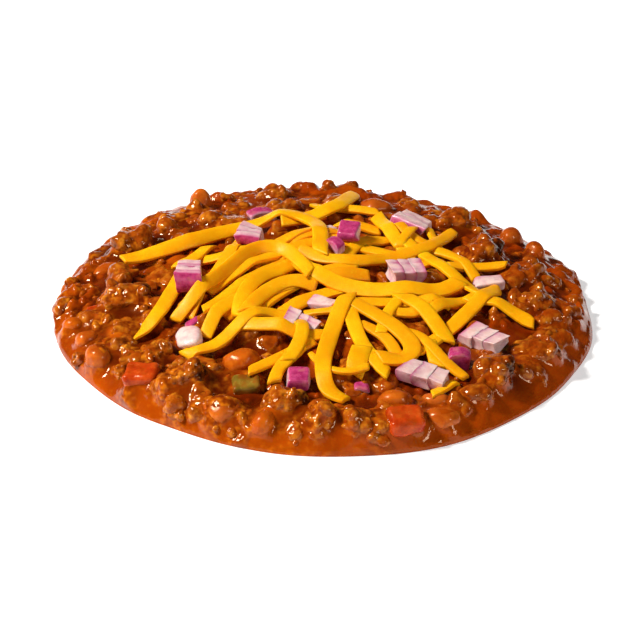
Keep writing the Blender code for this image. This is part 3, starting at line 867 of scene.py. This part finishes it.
def crumble(points, faces, seed, grain, craggy, voxel=MEAT_VOXEL, level=sauce_level):
    """Minced meat on a core: grains all over it, above a level, that have run together."""
    rng = np.random.default_rng(seed)
    middle = points.mean(0)
    core = middle + (points - middle) * (1 - CORE_SHRINK * craggy)
    area = facets(points, faces)[0].sum() / 2
    spots, normals = spots_on(core, faces, int(area / grain**2 * GRAIN_COVER), rng)
    unit, unit_faces = ball(2)
    parts = [(core, faces)]
    for spot, normal in zip(spots, normals):
        size = grain * rng.uniform(*GRAIN_SIZES) * rng.uniform(*GRAIN_STRETCH, 3)
        turn = np.linalg.qr(rng.normal(size=(3, 3)))[0]
        if spot[2] - size[2] > level(spot[0], spot[1]) - GRAIN_DEPTH:
            sunk = normal * size.min() * GRAIN_SUNK
            parts.append((unit * size @ turn + spot - sunk, unit_faces))
    skin, polygons = one_skin(*joined(parts), voxel)
    edges = edges_of(polygons)
    skin = relaxed(skin, edges, 4)
    normals = normals_of(skin, polygons)
    pits = np.abs(waves(skin, PIT_SIZE, seed)) * PIT_DEPTH
    pits += np.abs(waves(skin, PIT_SIZE / 2, seed + 5)) * FINE_PIT_DEPTH
    skin = skin + normals * ((pits - PIT_LEVEL) * craggy)[:, None]
    # How deep each point lies in a crevice, for the painted shade there.
    hollow = ((relaxed(skin, edges, 12) - skin) * normals).sum(1)
    return skin, polygons, hollow


def polished(name, seed, voxel, times, bumps, size):
    """A node's solid with its facets gone, slightly uneven."""
    skin, polygons = one_skin(*node_surface(name), voxel)
    skin = relaxed(skin, edges_of(polygons), times, KEEP_SIZE)
    normals = normals_of(skin, polygons)
    return skin + normals * (waves(skin, size, seed) * bumps)[:, None], polygons


def named(prefix):
    """The nodes whose names start so, in order."""
    return sorted(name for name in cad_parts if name.startswith(prefix))


def meat_surfaces():
    """The chunks of minced meat that stand out of the sauce."""
    surfaces = {}
    for seed, name in enumerate(named("meat_")):
        grain = SMOOTH_GRAIN if name in SMOOTH_MEAT else CRAGGY_GRAIN
        surfaces[name] = crumble(*node_surface(name), seed, *grain)
    return surfaces


def smooth_surfaces():
    """The beans and the dice of vegetable that stand out of the sauce."""
    surfaces = {}
    for seed, name in enumerate(named("bean_")):
        surfaces[name] = polished(name, seed, *BEAN_FINISH)
    for seed, name in enumerate(named("pepper_") + named("tomato_")):
        surfaces[name] = polished(name, seed + 20, *DICE_FINISH)
    return surfaces


def right_end_shade(name, points):
    """How much painted shade darkens the right end of a chunk."""
    if name not in RIGHT_SHADED_MEAT:
        return 0.0
    x = points[:, 0] + waves(points, DARK_END_WAVER, 2)
    share = (x - x.min()) / (x.max() - x.min())
    return DARK_END * climb(share, DARK_END_START, DARK_END_WIDTH)


def dress(surfaces, sauce, meat, bean, red, green):
    """Adds the meat, beans and dice, once the height of the sauce round them is known."""
    looks = {"bean": (bean, "bean"), "tomato": (red, "red_dice"), "pepper": (red, "red_dice")}
    for k, (name, (points, faces, *hollow)) in enumerate(surfaces.items()):
        rise = rise_of(points, sauce)
        if hollow:
            # Painted shade in the crevices and on the right end of the chunk.
            add_piece(
                f"crumble_{name}", (points, faces), meat, "meat", (name,),
                hollow=hollow[0] + right_end_shade(name, points), rise=rise,
            )
            continue
        material, slot = looks[name.split("_")[0]]
        if name == "pepper_green":
            material, slot = green, "green_dice"
        tone = np.full(len(points), (k * 0.618) % 1.0)
        add_piece(f"cooked_{name}", (points, faces), material, slot, (name,), rise=rise, tone=tone)


# ---- onion ----


def block_axes(points, faces):
    """Middle, axes and size of a diced node, from its two largest flat sides."""
    area, units = facets(points, faces)
    chosen = []
    for _ in range(2):
        totals = [
            0.0 if any(abs(unit @ axis) > ALIKE for axis in chosen)
            else area[np.abs(units @ unit) > PARALLEL].sum()
            for unit in units
        ]
        best = units[int(np.argmax(totals))]
        for axis in chosen:
            best = best - axis * (best @ axis)
        chosen.append(best / np.linalg.norm(best))
    chosen.append(np.cross(chosen[0], chosen[1]))
    axes = np.array(chosen)
    local = points @ axes.T
    low, high = local.min(0), local.max(0)
    return axes.T @ ((low + high) / 2), axes, high - low


def slab(size, radius):
    """A rounded slab whose points crowd towards its edges."""
    mesh = bmesh.new()
    bmesh.ops.create_cube(mesh, size=2)
    bmesh.ops.subdivide_edges(mesh, edges=mesh.edges, cuts=SLAB_CUTS, use_grid_fill=True)
    points, faces = unpacked(mesh)
    half = np.asarray(size) / 2
    points = np.sin(points * math.pi / 2) * half
    inner = np.clip(points, -(half - radius), half - radius)
    away = points - inner
    length = np.linalg.norm(away, axis=1)[:, None]
    return inner + away / np.maximum(length, 1e-9) * radius, faces


def warped(points, size, shifts):
    """Moves the corners of a block by shares of its size, and what is between with them."""
    share = points / size + 0.5
    moved = points.copy()
    for corner in np.ndindex(2, 2, 2):
        weight = np.prod([share[:, k] if corner[k] else 1 - share[:, k] for k in range(3)], axis=0)
        moved += weight[:, None] * shifts[corner] * size
    return moved


def outward(axes, side):
    """Which axis of a block looks most to a side, and whether it does so forwards."""
    facing = axes @ np.array(side, float)
    out = int(np.argmax(np.abs(facing)))
    return out, np.sign(facing[out])


def depth_below(local, axes, side):
    """How deep points of a block lie under the face that looks to a side."""
    out, sign = outward(axes, side)
    along = local[:, out] * sign
    return along.max() - along


def onion_surface(name, skin_side, layers, purple, seed):
    """Layers of onion, purple at their outer side, curved as they grew."""
    rng = np.random.default_rng(100 + seed)
    middle, axes, size = block_axes(*node_surface(name))
    out, sign = outward(axes, skin_side)
    side, other = [k for k in range(3) if k != out]
    thick = size[out] / layers
    askew, edge = (ASKEW, ONION_EDGE / layers**2) if purple > PALE else (PALE_ASKEW, PALE_EDGE)
    shared = rng.uniform(-askew, askew, (2, 2, 2, 3))
    parts, tints = [], []
    for layer in range(layers):
        part_size = size.copy()
        part_size[out] = thick * LAYER_OVERLAP
        for k in (side, other):
            part_size[k] -= rng.uniform(0, LAYER_TRIM) * size[k]
        local, part_faces = slab(part_size, min(edge, thick / 2.6))
        depth = part_size[out] / 2 - sign * local[:, out]
        margin = np.min(part_size[[side, other]] / 2 - np.abs(local[:, [side, other]]), axis=1)
        skin = np.exp(-depth / SKIN_DEPTH) * (1 - 0.6 * np.exp(-margin / SKIN_MARGIN))
        streak = 0.6 * np.maximum(waves(local * ONION_STREAK, 1.0, seed), 0)
        tint = skin * purple + (0.35 * np.exp(-depth / BLUSH_DEPTH) + streak) * purple
        if name in SECOND_SKIN:
            below = depth_below(local, axes, SECOND_SKIN[name])
            tint = np.maximum(tint, purple * np.exp(-below / SECOND_SKIN_DEPTH))
        local[:, out] += sign * (size[out] / 2 - thick * (layer + 0.5))
        bow = 1 - (2 * local[:, side] / size[side]) ** 2
        local[:, out] += sign * (bow - 0.8) * LAYER_BOW * size[side]
        slips = rng.uniform(-LAYER_SLIP, LAYER_SLIP, shared.shape)
        local = warped(local, size, shared + slips)
        for k in (side, other):
            local[:, k] += waves(local, ONION_BUMP_SIZE, seed + k + 7 * layer) * ONION_BUMP
        parts.append((local, part_faces))
        tints.append(tint)
    local, part_faces = joined(parts)
    return middle + local @ axes, part_faces, np.clip(np.concatenate(tints), 0, 1)


def lift_onto(cheese, points):
    """How far a dice has to rise to lie on the shreds under it."""
    low, high = points.min(0), points.max(0)
    middle, size = (low + high) / 2, high - low
    footprint = (middle[0], middle[1], size[0] / 2, size[1] / 2, 0.0)
    return min(max(cheese.top(footprint, 0) - low[2] - GAP, 0.0), MOST_LIFT)


# ---- cheese ----


def smooth_route(points, step):
    """A Catmull-Rom curve through the points, as a list about one step apart."""
    ends = [2 * points[0] - points[1], *points, 2 * points[-1] - points[-2]]
    route = []
    for before, start, end, after in zip(ends, ends[1:], ends[2:], ends[3:]):
        count = max(2, round((end - start).length / step))
        for k in range(count):
            t = k / count
            bend = 2 * before - 5 * start + 4 * end - after
            turn = 3 * start - before - 3 * end + after
            route.append(start + 0.5 * (t * (end - before) + t**2 * bend + t**3 * turn))
    route.append(points[-1])
    return route


def headings(route):
    """The direction of the route at each of its points, as an angle."""
    ahead = [b - a for a, b in zip([route[0], *route], [*route[1:], route[-1]])]
    return [math.atan2(step.y, step.x) for step in ahead]


def softened(values, times):
    """A row of values without its sharp turns; its ends stay."""
    for _ in range(times):
        values = values.copy()
        values[1:-1] = (values[:-2] + 2 * values[1:-1] + values[2:]) / 4
    return values


def eased(floor, times):
    """The lowest stiff line that stays on or above a floor."""
    height = floor
    for _ in range(times):
        height = np.maximum(floor, softened(height, 1))
    return height


def floor_below(footprint, maps):
    """The highest that a strip of shred may lie on."""
    things, dice, cheese = maps
    return max(
        things.top(footprint, 0) + GAP,
        dice.top(footprint, -DICE_OVERHANG / 2) + GAP,
        cheese.top(footprint, 0) - SHRED_MELD,
    )


def strip_places(route, turns, width, share):
    """Footprints of a narrow strip of a shred, some way off its middle."""
    off = share * width / 2
    return [
        (p.x - math.sin(turn) * off, p.y + math.cos(turn) * off, SHRED_STEP, width / 5, turn)
        for p, turn in zip(route, turns)
    ]


def shred_section():
    """A rounded rectangle from -1 to 1 each way, as points round it."""
    side = np.linspace(-0.91, 0.91, 5)
    top = [(s, 1.0) for s in side]
    right = [(0.98, 0.84), (1.0, 0.45), (1.0, -0.45), (0.98, -0.84)]
    bottom = [(s, -1.0) for s in side[::-1]]
    left = [(-0.98, -0.84), (-1.0, -0.45), (-1.0, 0.45), (-0.98, 0.84)]
    return np.array(top + right + bottom + left)


def shred_surface(route, turns, under, roll, width, seed):
    """A strip with slightly ragged edges that tapers a little at its ends."""
    rng = np.random.default_rng(300 + seed)
    section = shred_section()
    count = len(route)
    taper = SHRED_TAPER * rng.random(2) ** 3
    slant = rng.uniform(-SHRED_SLANT, SHRED_SLANT, 2)
    points = []
    for k in range(count):
        at = k * SHRED_STEP
        left = (count - 1 - k) * SHRED_STEP
        ends = (max(0, 1 - at / SHRED_END), max(0, 1 - left / SHRED_END))
        wide = width / 2 * (1 - taper[0] * ends[0] ** 2 - taper[1] * ends[1] ** 2)
        wide *= 1 + 0.06 * wave((at, 0, 0), 12, seed)
        thick = SHRED_THICKNESS / 2 * (1 + 0.08 * wave((at, 5, 0), 9, seed))
        along = Vector((math.cos(turns[k]), math.sin(turns[k]), 0))
        turned = Matrix.Rotation(roll[k], 3, along)
        side, up = turned @ Vector((-along.y, along.x, 0)), turned @ Vector((0, 0, 1))
        middle = Vector((*route[k], under[k] + SHRED_THICKNESS / 2))
        shift = slant[0] * ends[0] + slant[1] * ends[1]
        for s, u in section:
            ragged = 0.1 * wave((at, 9 * s, 4 * u), 1.5, seed) if abs(s) > 0.9 else 0.0
            ridge = 0.05 * wave((at / 8, 3 * s, 2 * u), 1.0, seed)
            cup = -SHRED_CUP * (s * s - 0.4)
            across = side * (s * wide + ragged) + up * (u * thick + cup + ridge)
            points.append(middle + across + along * (shift * s * wide * 0.8))
    points = np.array(points)
    ring = len(section)
    faces = []
    for k in range(count - 1):
        for j in range(ring):
            near, far, after = k * ring, (k + 1) * ring, (j + 1) % ring
            faces.append([near + j, near + after, far + after, far + j])
    for start, order in ((0, 1), ((count - 1) * ring, -1)):
        hub = len(points)
        points = np.vstack([points, points[start : start + ring].mean(0)])
        for j in range(ring):
            faces.append([start + j, start + (j + 1) % ring, hub][::-order])
    return points, faces


def lay_shred(maps, seed, width, stops, rolls=(0,)):
    """Lays one shred on what is there, leaning to the side that is lower."""
    route = np.array(smooth_route([Vector(p) for p in stops], SHRED_STEP))
    route = [Vector(p) for p in softened(route, ROUTE_EASING)]
    turns = headings(route)
    width *= SHRED_WIDENING
    strips = {share: strip_places(route, turns, width, share) for share in SHRED_ACROSS}
    floors = {
        share: np.array([floor_below(place, maps) for place in places])
        for share, places in strips.items()
    }
    left = eased(np.maximum(floors[0.8], floors[0.4]), SHRED_STIFFNESS)
    right = eased(np.maximum(floors[-0.8], floors[-0.4]), SHRED_STIFFNESS)
    lean = np.arctan(softened((left - right) / (width * 0.6), LEAN_EASING)) * LEAN_SHARE
    lean = np.clip(lean, -STEEPEST_LEAN, STEEPEST_LEAN)
    given = np.interp(np.linspace(0, len(rolls) - 1, len(route)), range(len(rolls)), rolls)
    roll = softened(lean + np.radians(given), ROLL_EASING)
    lifts = {share: share * width / 2 * np.sin(roll) for share in SHRED_ACROSS}
    needed = np.max([floors[share] - lifts[share] for share in SHRED_ACROSS], axis=0)
    under = softened(eased(needed, SHRED_STIFFNESS), 4)
    for share, places in strips.items():
        for place, low in zip(places, under + lifts[share]):
            maps[2].raise_to(place, low + SHRED_THICKNESS)
    return shred_surface(route, turns, under, roll, width, seed)


def add_cheese(material, maps):
    """All shreds as one piece. Their tone varies at random, and the buried ones get painted shade as
    a deeper tone.
    """
    rng = np.random.default_rng(11)
    surfaces = [lay_shred(maps, seed, *shred) for seed, shred in enumerate(SHREDS)]
    tones = []
    for k, (points, _) in enumerate(surfaces):
        # A random tone, plus painted shade on the buried shreds.
        tone = 0.6 * rng.random() + (0.4 if k < BURIED_SHREDS else 0)
        tones.append(np.full(len(points), tone))
    add_piece(
        "cheese_shreds", joined(surfaces), material, "cheese", ("cheese_heap",),
        tone=np.concatenate(tones),
    )


# ---- sauce ----


def lump_map(grid):
    """The CAD model's lumps of what lies just under the sauce."""
    inward = (1 - share_out(grid.x, grid.y)) * RIM_RADIUS
    calm = (np.hypot(grid.x / CALM_HALF_X, grid.y / CALM_HALF_Y) - 1) * CALM_HALF_Y
    beside = np.full(grid.x.shape, ABOVE_ALL)
    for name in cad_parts:
        if name not in ("stew", "cheese_heap"):
            low, high = (np.array(corner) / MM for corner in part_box(name))
            middle, half = (low + high) / 2, (high - low) / 2
            reach = np.hypot((grid.x - middle[0]) / half[0], (grid.y - middle[1]) / half[1])
            beside = np.minimum(beside, np.maximum(reach - 1, 0) * min(half[0], half[1]))
    beside -= LUMP_CLEARANCE
    fade = climb(np.minimum(np.minimum(inward, calm), beside), 0, LUMP_FADE)
    height = np.zeros(grid.x.shape)
    for cell in zip(*np.nonzero(fade)):
        rough = noise.noise(Vector((grid.x[cell], grid.y[cell], 0)) / LUMP_SPACING)
        height[cell] = LUMP_HEIGHT * fade[cell] * max(rough + 0.2, 0)
    return height


def detail_map(grid):
    """Small crumbs under the film, and slow ripples."""
    out = share_out(grid.x, grid.y)
    inside = climb((1 - out) * RIM_RADIUS, RELIEF_EDGE, RELIEF_FADE)
    height = np.zeros(grid.x.shape)
    for cell in zip(*np.nonzero(inside)):
        place = (grid.x[cell], grid.y[cell], 0)
        away = math.hypot(place[0] - CALM_SPOT[0], place[1] - CALM_SPOT[1])
        crumbly = wave(place, CRUMBLY_PATCH_SIZE, 3) * 2.4 + 0.55 + 0.7 * out[cell] ** 4
        crumbly = min(max(crumbly - math.exp(-((away / CALM_REACH) ** 2)), 0), 1)
        grains = abs(wave(place, CRUMBLY_SIZE, 8)) + 0.6 * abs(wave(place, CRUMBLY_SIZE / 2, 4))
        ripple = RIPPLE_HEIGHT * wave(place, RIPPLE_SIZE, 5)
        lumps = RIM_LUMP * out[cell] ** 4 * max(wave(place, RIM_LUMP_SIZE, 6), 0)
        relief = crumbly * (CRUMBLY_HEIGHT * (grains - 0.25) + lumps)
        relief *= 1 - 0.5 * min(max(place[1] / CALM_BACK, 0), 1)
        height[cell] = inside[cell] * (relief + ripple)
    return height


def smooth_max(first, second, blend):
    """The larger of two heights, with a fillet where they cross."""
    share = np.clip(0.5 + 0.5 * (second - first) / blend, 0, 1)
    return first * (1 - share) + second * share + blend * share * (1 - share)


def sauce_map(body, grid, covered):
    """Height of the sauce everywhere: its body, and the film that hugs the pieces."""
    level = sauce_level(grid.x, grid.y)
    inward = climb((1 - share_out(grid.x, grid.y)) * RIM_RADIUS, 0, FILM_FADE)
    above = [(np.maximum(pieces.height - level, 0) * inward, film) for pieces, film in covered]
    tallest = np.max([rise for rise, _ in above], axis=0)
    heights = body
    for rise, (reach, drop) in [(tallest, DRAPE_FILM), *above]:
        heights = smooth_max(heights, level + blurred(rise, reach) - drop, FILM_BLEND)
    return heights


def free_places(taken, count, spacing, rng):
    """Spreads places over the sauce where nothing stands."""
    places = []
    for _ in range(PLACE_TRIES * count):
        x, y = random_place(rng, PLACE_REACH)
        apart = min((math.hypot(x - a, y - b) for a, b in places), default=ABOVE_ALL)
        if apart > spacing and sampled(taken, x, y) < TAKEN:
            places.append((x, y))
    return places[:count]


def room_taken(maps, margin):
    """Where pieces stand, with a soft margin round them."""
    return blurred((np.max([pieces.height for pieces in maps], axis=0) > 0) * 1.0, margin)


def set_down(points, x, y, turn, size, level, sunk):
    """Turns and scales a shape and sets its middle some way under the sauce."""
    cos, sin = math.cos(turn), math.sin(turn)
    turned = points @ np.array([[cos, sin, 0], [-sin, cos, 0], [0, 0, 1]])
    return turned * size + (x, y, sampled(level, x, y) - sunk)


def sunken_meat(taken, body):
    """Craggy crumbs of meat, a few kinds turned and scaled in many ways."""
    rng = np.random.default_rng(5)
    unit, unit_faces = ball(3)
    kinds = []
    for kind in range(NUGGET_KINDS):
        rough = 1 + 0.4 * waves(unit, 0.8, kind)
        core = unit * rough[:, None] * NUGGET_HALF
        look = (50 + kind, *NUGGET_GRAIN, NUGGET_VOXEL, no_sauce)
        kinds.append(crumble(core, unit_faces, *look))
    placed = []
    places = [(x, y, 0.0) for x, y in free_places(taken, NUGGET_COUNT, NUGGET_SPACING, rng)]
    for k, (x, y, given) in enumerate([*places, *RIM_MEAT]):
        points, faces, hollow = kinds[k % NUGGET_KINDS]
        edge = (1 - share_out(x, y)) * RIM_RADIUS
        room = BACK_ROOM if y > 0 else FRONT_ROOM
        size = given or rng.uniform(*NUGGET_SIZES) * min(max(edge / room, 0.4), 1)
        sunk = (RIM_SUNK if given else rng.uniform(*NUGGET_SUNK)) * size
        turn = rng.uniform(0, 2 * math.pi)
        placed.append((set_down(points, x, y, turn, size, body, sunk), faces, hollow))
    return placed


def sunken_beans(taken, body):
    """Kidney beans that lie in the sauce up to their backs."""
    rng = np.random.default_rng(8)
    unit, faces = ball(4)
    placed = []
    for x, y in free_places(taken, SUNKEN_BEANS, BEAN_SPACING, rng):
        points = unit * (1 + 0.05 * waves(unit, 1.0, x))[:, None] * BEAN_HALF
        points[:, 1] += BEAN_CURVE * points[:, 0] ** 2
        edge = (1 - share_out(x, y)) * RIM_RADIUS
        size = rng.uniform(*BEAN_SIZES) * min(max(edge / BEAN_ROOM, 0.6), 1)
        turn, sunk = rng.uniform(0, 2 * math.pi), rng.uniform(*BEAN_SUNK)
        placed.append((set_down(points, x, y, turn, size, body, sunk), faces))
    return placed


def shown(surface, heights):
    """A surface without what lies deep in the sauce, and the places of its points."""
    points, faces = surface
    deep = points[:, 2] < sampled(heights, points[:, 0], points[:, 1]) - HIDDEN_DEPTH
    faces = [face for face in faces if not all(deep[face])]
    kept = np.unique(np.concatenate([np.array(face) for face in faces]))
    places = np.zeros(len(points), int)
    places[kept] = np.arange(len(kept))
    return (points[kept], [places[face].tolist() for face in faces]), kept


def add_sunken(meats, beans, heights, meat, bean):
    """The sunken meat and the sunken beans, each as one piece."""
    surface, kept = shown(joined([nugget[:2] for nugget in meats]), heights)
    rise = rise_of(surface[0], heights) * SUNKEN_SHOW
    hollow = np.concatenate([nugget[2] for nugget in meats])[kept]
    add_piece("sunken_meat", surface, meat, "meat", hollow=hollow, rise=rise)
    surface, kept = shown(joined(beans), heights)
    rise = rise_of(surface[0], heights)
    tones = [np.full(len(points), 0.4 * k % 1) for k, (points, _) in enumerate(beans)]
    add_piece("sunken_beans", surface, bean, "bean", rise=rise, tone=np.concatenate(tones)[kept])


def round_grid():
    """A square grid squeezed to a disc: ring, angle, faces and rim."""
    line = np.arange(-SKIN_RINGS, SKIN_RINGS + 1)
    a, b = np.meshgrid(line, line, indexing="ij")
    wide = np.abs(a) > np.abs(b)
    with np.errstate(divide="ignore", invalid="ignore"):
        turn = np.where(wide, math.pi / 4 * b / a, math.pi / 2 - math.pi / 4 * a / b)
    turn = np.where(wide & (a < 0), turn + math.pi, turn)
    turn = np.nan_to_num(np.where(~wide & (b < 0), turn + math.pi, turn))
    ring = np.maximum(np.abs(a), np.abs(b))
    numbers = np.arange(len(line) ** 2).reshape(len(line), -1)
    squares = (numbers[:-1, :-1], numbers[1:, :-1], numbers[1:, 1:], numbers[:-1, 1:])
    faces = np.stack(squares, -1).reshape(-1, 4).tolist()
    sides = (numbers[:-1, 0], numbers[-1, :-1], numbers[:0:-1, -1], numbers[0, :0:-1])
    return ring.ravel(), turn.ravel(), faces, np.concatenate(sides).tolist()


def lip_bulge(x, y, z, share):
    """How far chunks inside the sauce push its lip out."""
    bulge = np.zeros(len(x))
    lip = share > LIP_LUMP_START
    places = np.stack([x, y, z], -1)[lip]
    away = np.hypot(places[:, 0] - CALM_SPOT[0], places[:, 1] - CALM_SPOT[1])
    fade = climb(share[lip], LIP_LUMP_START, LIP_LUMP_FADE) * climb(z[lip], 0, LIP_LUMP_FOOT)
    fade *= 1 - np.exp(-((away / (1.5 * CALM_REACH)) ** 2))
    fade *= np.clip(0.4 + 2 * waves(places, LIP_PATCH_SIZE, 2), 0, 1)
    lumps = np.maximum(waves(places, LIP_LUMP_SIZE, 9) + 0.1, 0)
    bulge[lip] = LIP_LUMP * lumps * fade
    return bulge


def add_sauce(material, heights, meats, beans):
    """The sauce as one closed skin, with shares for how it looks at each point."""
    ring, turn, faces, rim = round_grid()
    flat_rings = SKIN_RINGS - LIP_RINGS
    lip_start = 1 - LIP_WIDTH / RIM_RADIUS
    arc = climb(ring, flat_rings, LIP_RINGS) * math.pi / 2
    lip_share = lip_start + (1 - lip_start) * np.sin(arc) ** (2 / LIP_POWER)
    lip = np.cos(arc) ** (2 / LIP_POWER)
    share = np.where(ring <= flat_rings, ring / flat_rings * lip_start, lip_share)
    around = np.stack([np.cos(turn), np.sin(turn), 0 * turn], -1)
    wobble = RIM_WOBBLE * waves(around, RIM_WOBBLE_SIZE, 1) + RIM_SHIFT * np.cos(turn)
    radius = share * rim_radius(turn) * (1 + wobble * share**4)
    x, y = radius * np.cos(turn), radius * np.sin(turn)
    z = sampled(heights, x, y)
    calm = calm_height(share, lip)
    z = np.where(ring > flat_rings, calm + (z - sauce_level(x, y)) * np.cos(arc), z)
    z = np.where(ring == SKIN_RINGS, 0.0, z)
    bulge = lip_bulge(x, y, z, share)
    thin = climb(share, THIN_START, THIN_WIDTH)
    # How deep each point lies in a dip, for the painted shade in the hollows; none at the rim.
    dips = blurred(heights, DIP_REACH) - heights
    dips += WIDE_DIP_SHARE * (blurred(heights, WIDE_DIP_REACH) - heights)
    hollow = sampled(dips, x, y) * (1 - climb(share, HOLLOW_END, HOLLOW_FADE))
    meaty, beany = (
        sampled(blurred(np.clip(FILM_TINT_DEPTH - cover, 0, 1), FILM_TINT_BLUR), x, y)
        for cover in (heights - meats.height, heights - beans.height)
    )
    meaty = np.maximum(meaty, np.clip(bulge, 0, 1))
    points = np.stack([x, y, z], -1)
    points += bulge[:, None] * (around + (0, 0, LIP_LUMP_RISE))
    faces.append(rim)
    add_piece(
        "sauce_skin", (points, faces), material, "sauce", ("stew",),
        thin=thin, hollow=hollow, meaty=meaty, beany=beany,
    )


def add_crumbs(material, heights, taken):
    """Loose crumbs of meat that stick out of the film."""
    rng = np.random.default_rng(21)
    unit, unit_faces = ball(3)
    clusters = [random_place(rng, CLUSTER_REACH) for _ in range(CRUMB_COUNT // CRUMBS_TOGETHER)]
    parts = []
    for k in range(CRUMB_COUNT):
        x, y = clusters[k % len(clusters)] + rng.normal(0, CRUMB_SPREAD, 2)
        if share_out(x, y) > CRUMB_REACH or sampled(taken, x, y) > 0:
            continue
        size = rng.uniform(*CRUMB_SIZES) * rng.uniform(*CRUMB_STRETCH, 3)
        lumpy = 1 + 0.5 * waves(unit, 0.9, 3.3 * k)
        spot = (x, y, sampled(heights, x, y) + size[2] * 0.1)
        parts.append((unit * lumpy[:, None] * size + spot, unit_faces))
    points, faces = joined(parts)
    rise = rise_of(points, heights, 3.0, 0.1)
    hollow = np.zeros(len(points))
    add_piece("meat_crumbs", (points, faces), material, "meat", hollow=hollow, rise=rise)


# ---- stage ----


def add_light(name, place, size, watts, colour=(1, 1, 1)):
    """A square soft light that aims at the middle."""
    data = bpy.data.lights.new(name, "AREA")
    data.size = size
    data.energy = watts
    data.color = colour
    light = add_object(name, data)
    light.location = place
    light.rotation_euler = (-Vector(place)).to_track_quat("-Z", "Y").to_euler()


def floor_material():
    """Matt and nearly white, with a little light of its own."""
    shader = Shader("floor", IOR=1.3, Emission_Color=(1, 1, 1, 1), Emission_Strength=0.5)
    cloud = shader.noise(400, 2)
    colour = shader.ramp(cloud, (0.3, (0.78, 0.78, 0.78)), (0.7, (0.82, 0.82, 0.82)))
    return shader.finish(colour, (80, 2, 0.75, 0.85))


def add_world():
    """A dim room."""
    world = bpy.data.worlds.new("studio")
    world.use_nodes = True
    world.node_tree.nodes["Background"].inputs["Color"].default_value = (0.03, 0.03, 0.03, 1)
    bpy.context.scene.world = world


def add_stage():
    """A pale floor and soft light from the left."""
    mesh = bpy.data.meshes.new("floor")
    sides = ((-1, -1), (1, -1), (1, 1), (-1, 1))
    corners = [(FLOOR_HALF * x, FLOOR_HALF * y, 0) for x, y in sides]
    mesh.from_pydata(corners, [], [(0, 1, 2, 3)])
    mesh.materials.append(floor_material())
    floor = add_object("floor", mesh)
    floor.location.z = -FLOOR_DROP
    add_world()
    add_light("key", (-1.4, -0.15, 1.5), 0.42, 68, (1, 0.97, 0.93))
    add_light("fill", (1.45, -1.1, 0.85), 0.4, 10)
    add_light("front", (0.3, -1.8, 0.5), 1.2, 3)
    bpy.context.scene.view_settings.view_transform = "Standard"


def add_camera():
    """A long lens that looks down at the front of the chili."""
    data = bpy.data.cameras.new("camera")
    data.sensor_width = 36
    data.lens = 155.6
    data.shift_y = LENS_SHIFT
    camera = add_object("camera", data)
    back = CAMERA_DISTANCE * math.cos(CAMERA_ELEVATION) + CAMERA_AIM
    camera.location = (0, -back, CAMERA_DISTANCE * math.sin(CAMERA_ELEVATION))
    camera.rotation_euler = (math.pi / 2 - CAMERA_ELEVATION, 0, 0)
    bpy.context.scene.camera = camera


# ---- the whole ----


def piece_maps(craggy, smooth):
    """Maps of the beans, the meat and the dice that stand out of the sauce."""
    beans, meat, dice = (HeightMap() for _ in range(3))
    for name, (points, faces) in smooth.items():
        if name in COATED_BEANS:
            meat.add_surface(points + (0, 0, COAT), faces)
        elif name.startswith("bean_"):
            drop = BARE_DROP if name in BARE_BEANS else 0.0
            beans.add_surface(points - (0, 0, drop), faces)
        else:
            dice.add_surface(points, faces)
    for points, faces, _ in craggy.values():
        meat.add_surface(points, faces)
    return beans, meat, dice


def add_stew():
    """The sauce with all that is in it. Gives a map of its top."""
    meat, bean = meat_material(), bean_material()
    red = dice_material("red_pepper", *RED_DICE)
    green = dice_material("green_pepper", *GREEN_DICE)
    craggy, smooth = meat_surfaces(), smooth_surfaces()
    maps = piece_maps(craggy, smooth)
    beans_map, meat_map, _ = maps
    top = HeightMap()
    body = sauce_level(top.x, top.y) + lump_map(top) + detail_map(top)
    beans = sunken_beans(room_taken(maps, BEAN_MARGIN), body)
    for points, faces in beans:
        beans_map.add_surface(points, faces)
    meats = sunken_meat(room_taken(maps, NUGGET_MARGIN), body)
    for points, faces, _ in meats:
        meat_map.add_surface(points, faces)
    heights = sauce_map(body, top, list(zip(maps, (BEAN_FILM, MEAT_FILM, DICE_FILM))))
    dress(craggy | smooth, heights, meat, bean, red, green)
    add_sunken(meats, beans, heights, meat, bean)
    add_sauce(sauce_material(), heights, meat_map, beans_map)
    add_crumbs(meat, heights, room_taken(maps, CELL))
    sauce = np.where(share_out(top.x, top.y) < 1, heights, 0)
    top.height = np.max([*(pieces.height for pieces in maps), sauce], axis=0)
    return top


def add_topping(stew):
    """The cheese and the onion: the later dice lie on the shreds, the others among them."""
    material = onion_material()
    dice, cheese = HeightMap(), HeightMap()
    onions = {
        name: onion_surface(name, *look, seed)
        for seed, (name, look) in enumerate(ONION_LOOKS.items())
    }
    for name, (points, faces, _) in onions.items():
        if name not in LATER_ONIONS:
            dice.add_surface(points, faces)
    add_cheese(cheese_material(), (stew, dice, cheese))
    for name, (points, faces, purple) in onions.items():
        lift = lift_onto(cheese, points) if name in LATER_ONIONS else 0.0
        surface = points + (0, 0, lift), faces
        add_piece(f"dice_{name}", surface, material, "onion", (name,), purple=purple)


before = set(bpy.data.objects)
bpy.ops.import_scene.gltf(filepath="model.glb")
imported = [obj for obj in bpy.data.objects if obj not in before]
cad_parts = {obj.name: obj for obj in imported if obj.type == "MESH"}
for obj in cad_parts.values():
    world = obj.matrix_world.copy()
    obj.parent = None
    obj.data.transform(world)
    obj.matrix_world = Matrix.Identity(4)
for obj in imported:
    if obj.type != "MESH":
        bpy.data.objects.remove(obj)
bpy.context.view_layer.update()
add_camera()
add_stage()
add_topping(add_stew())
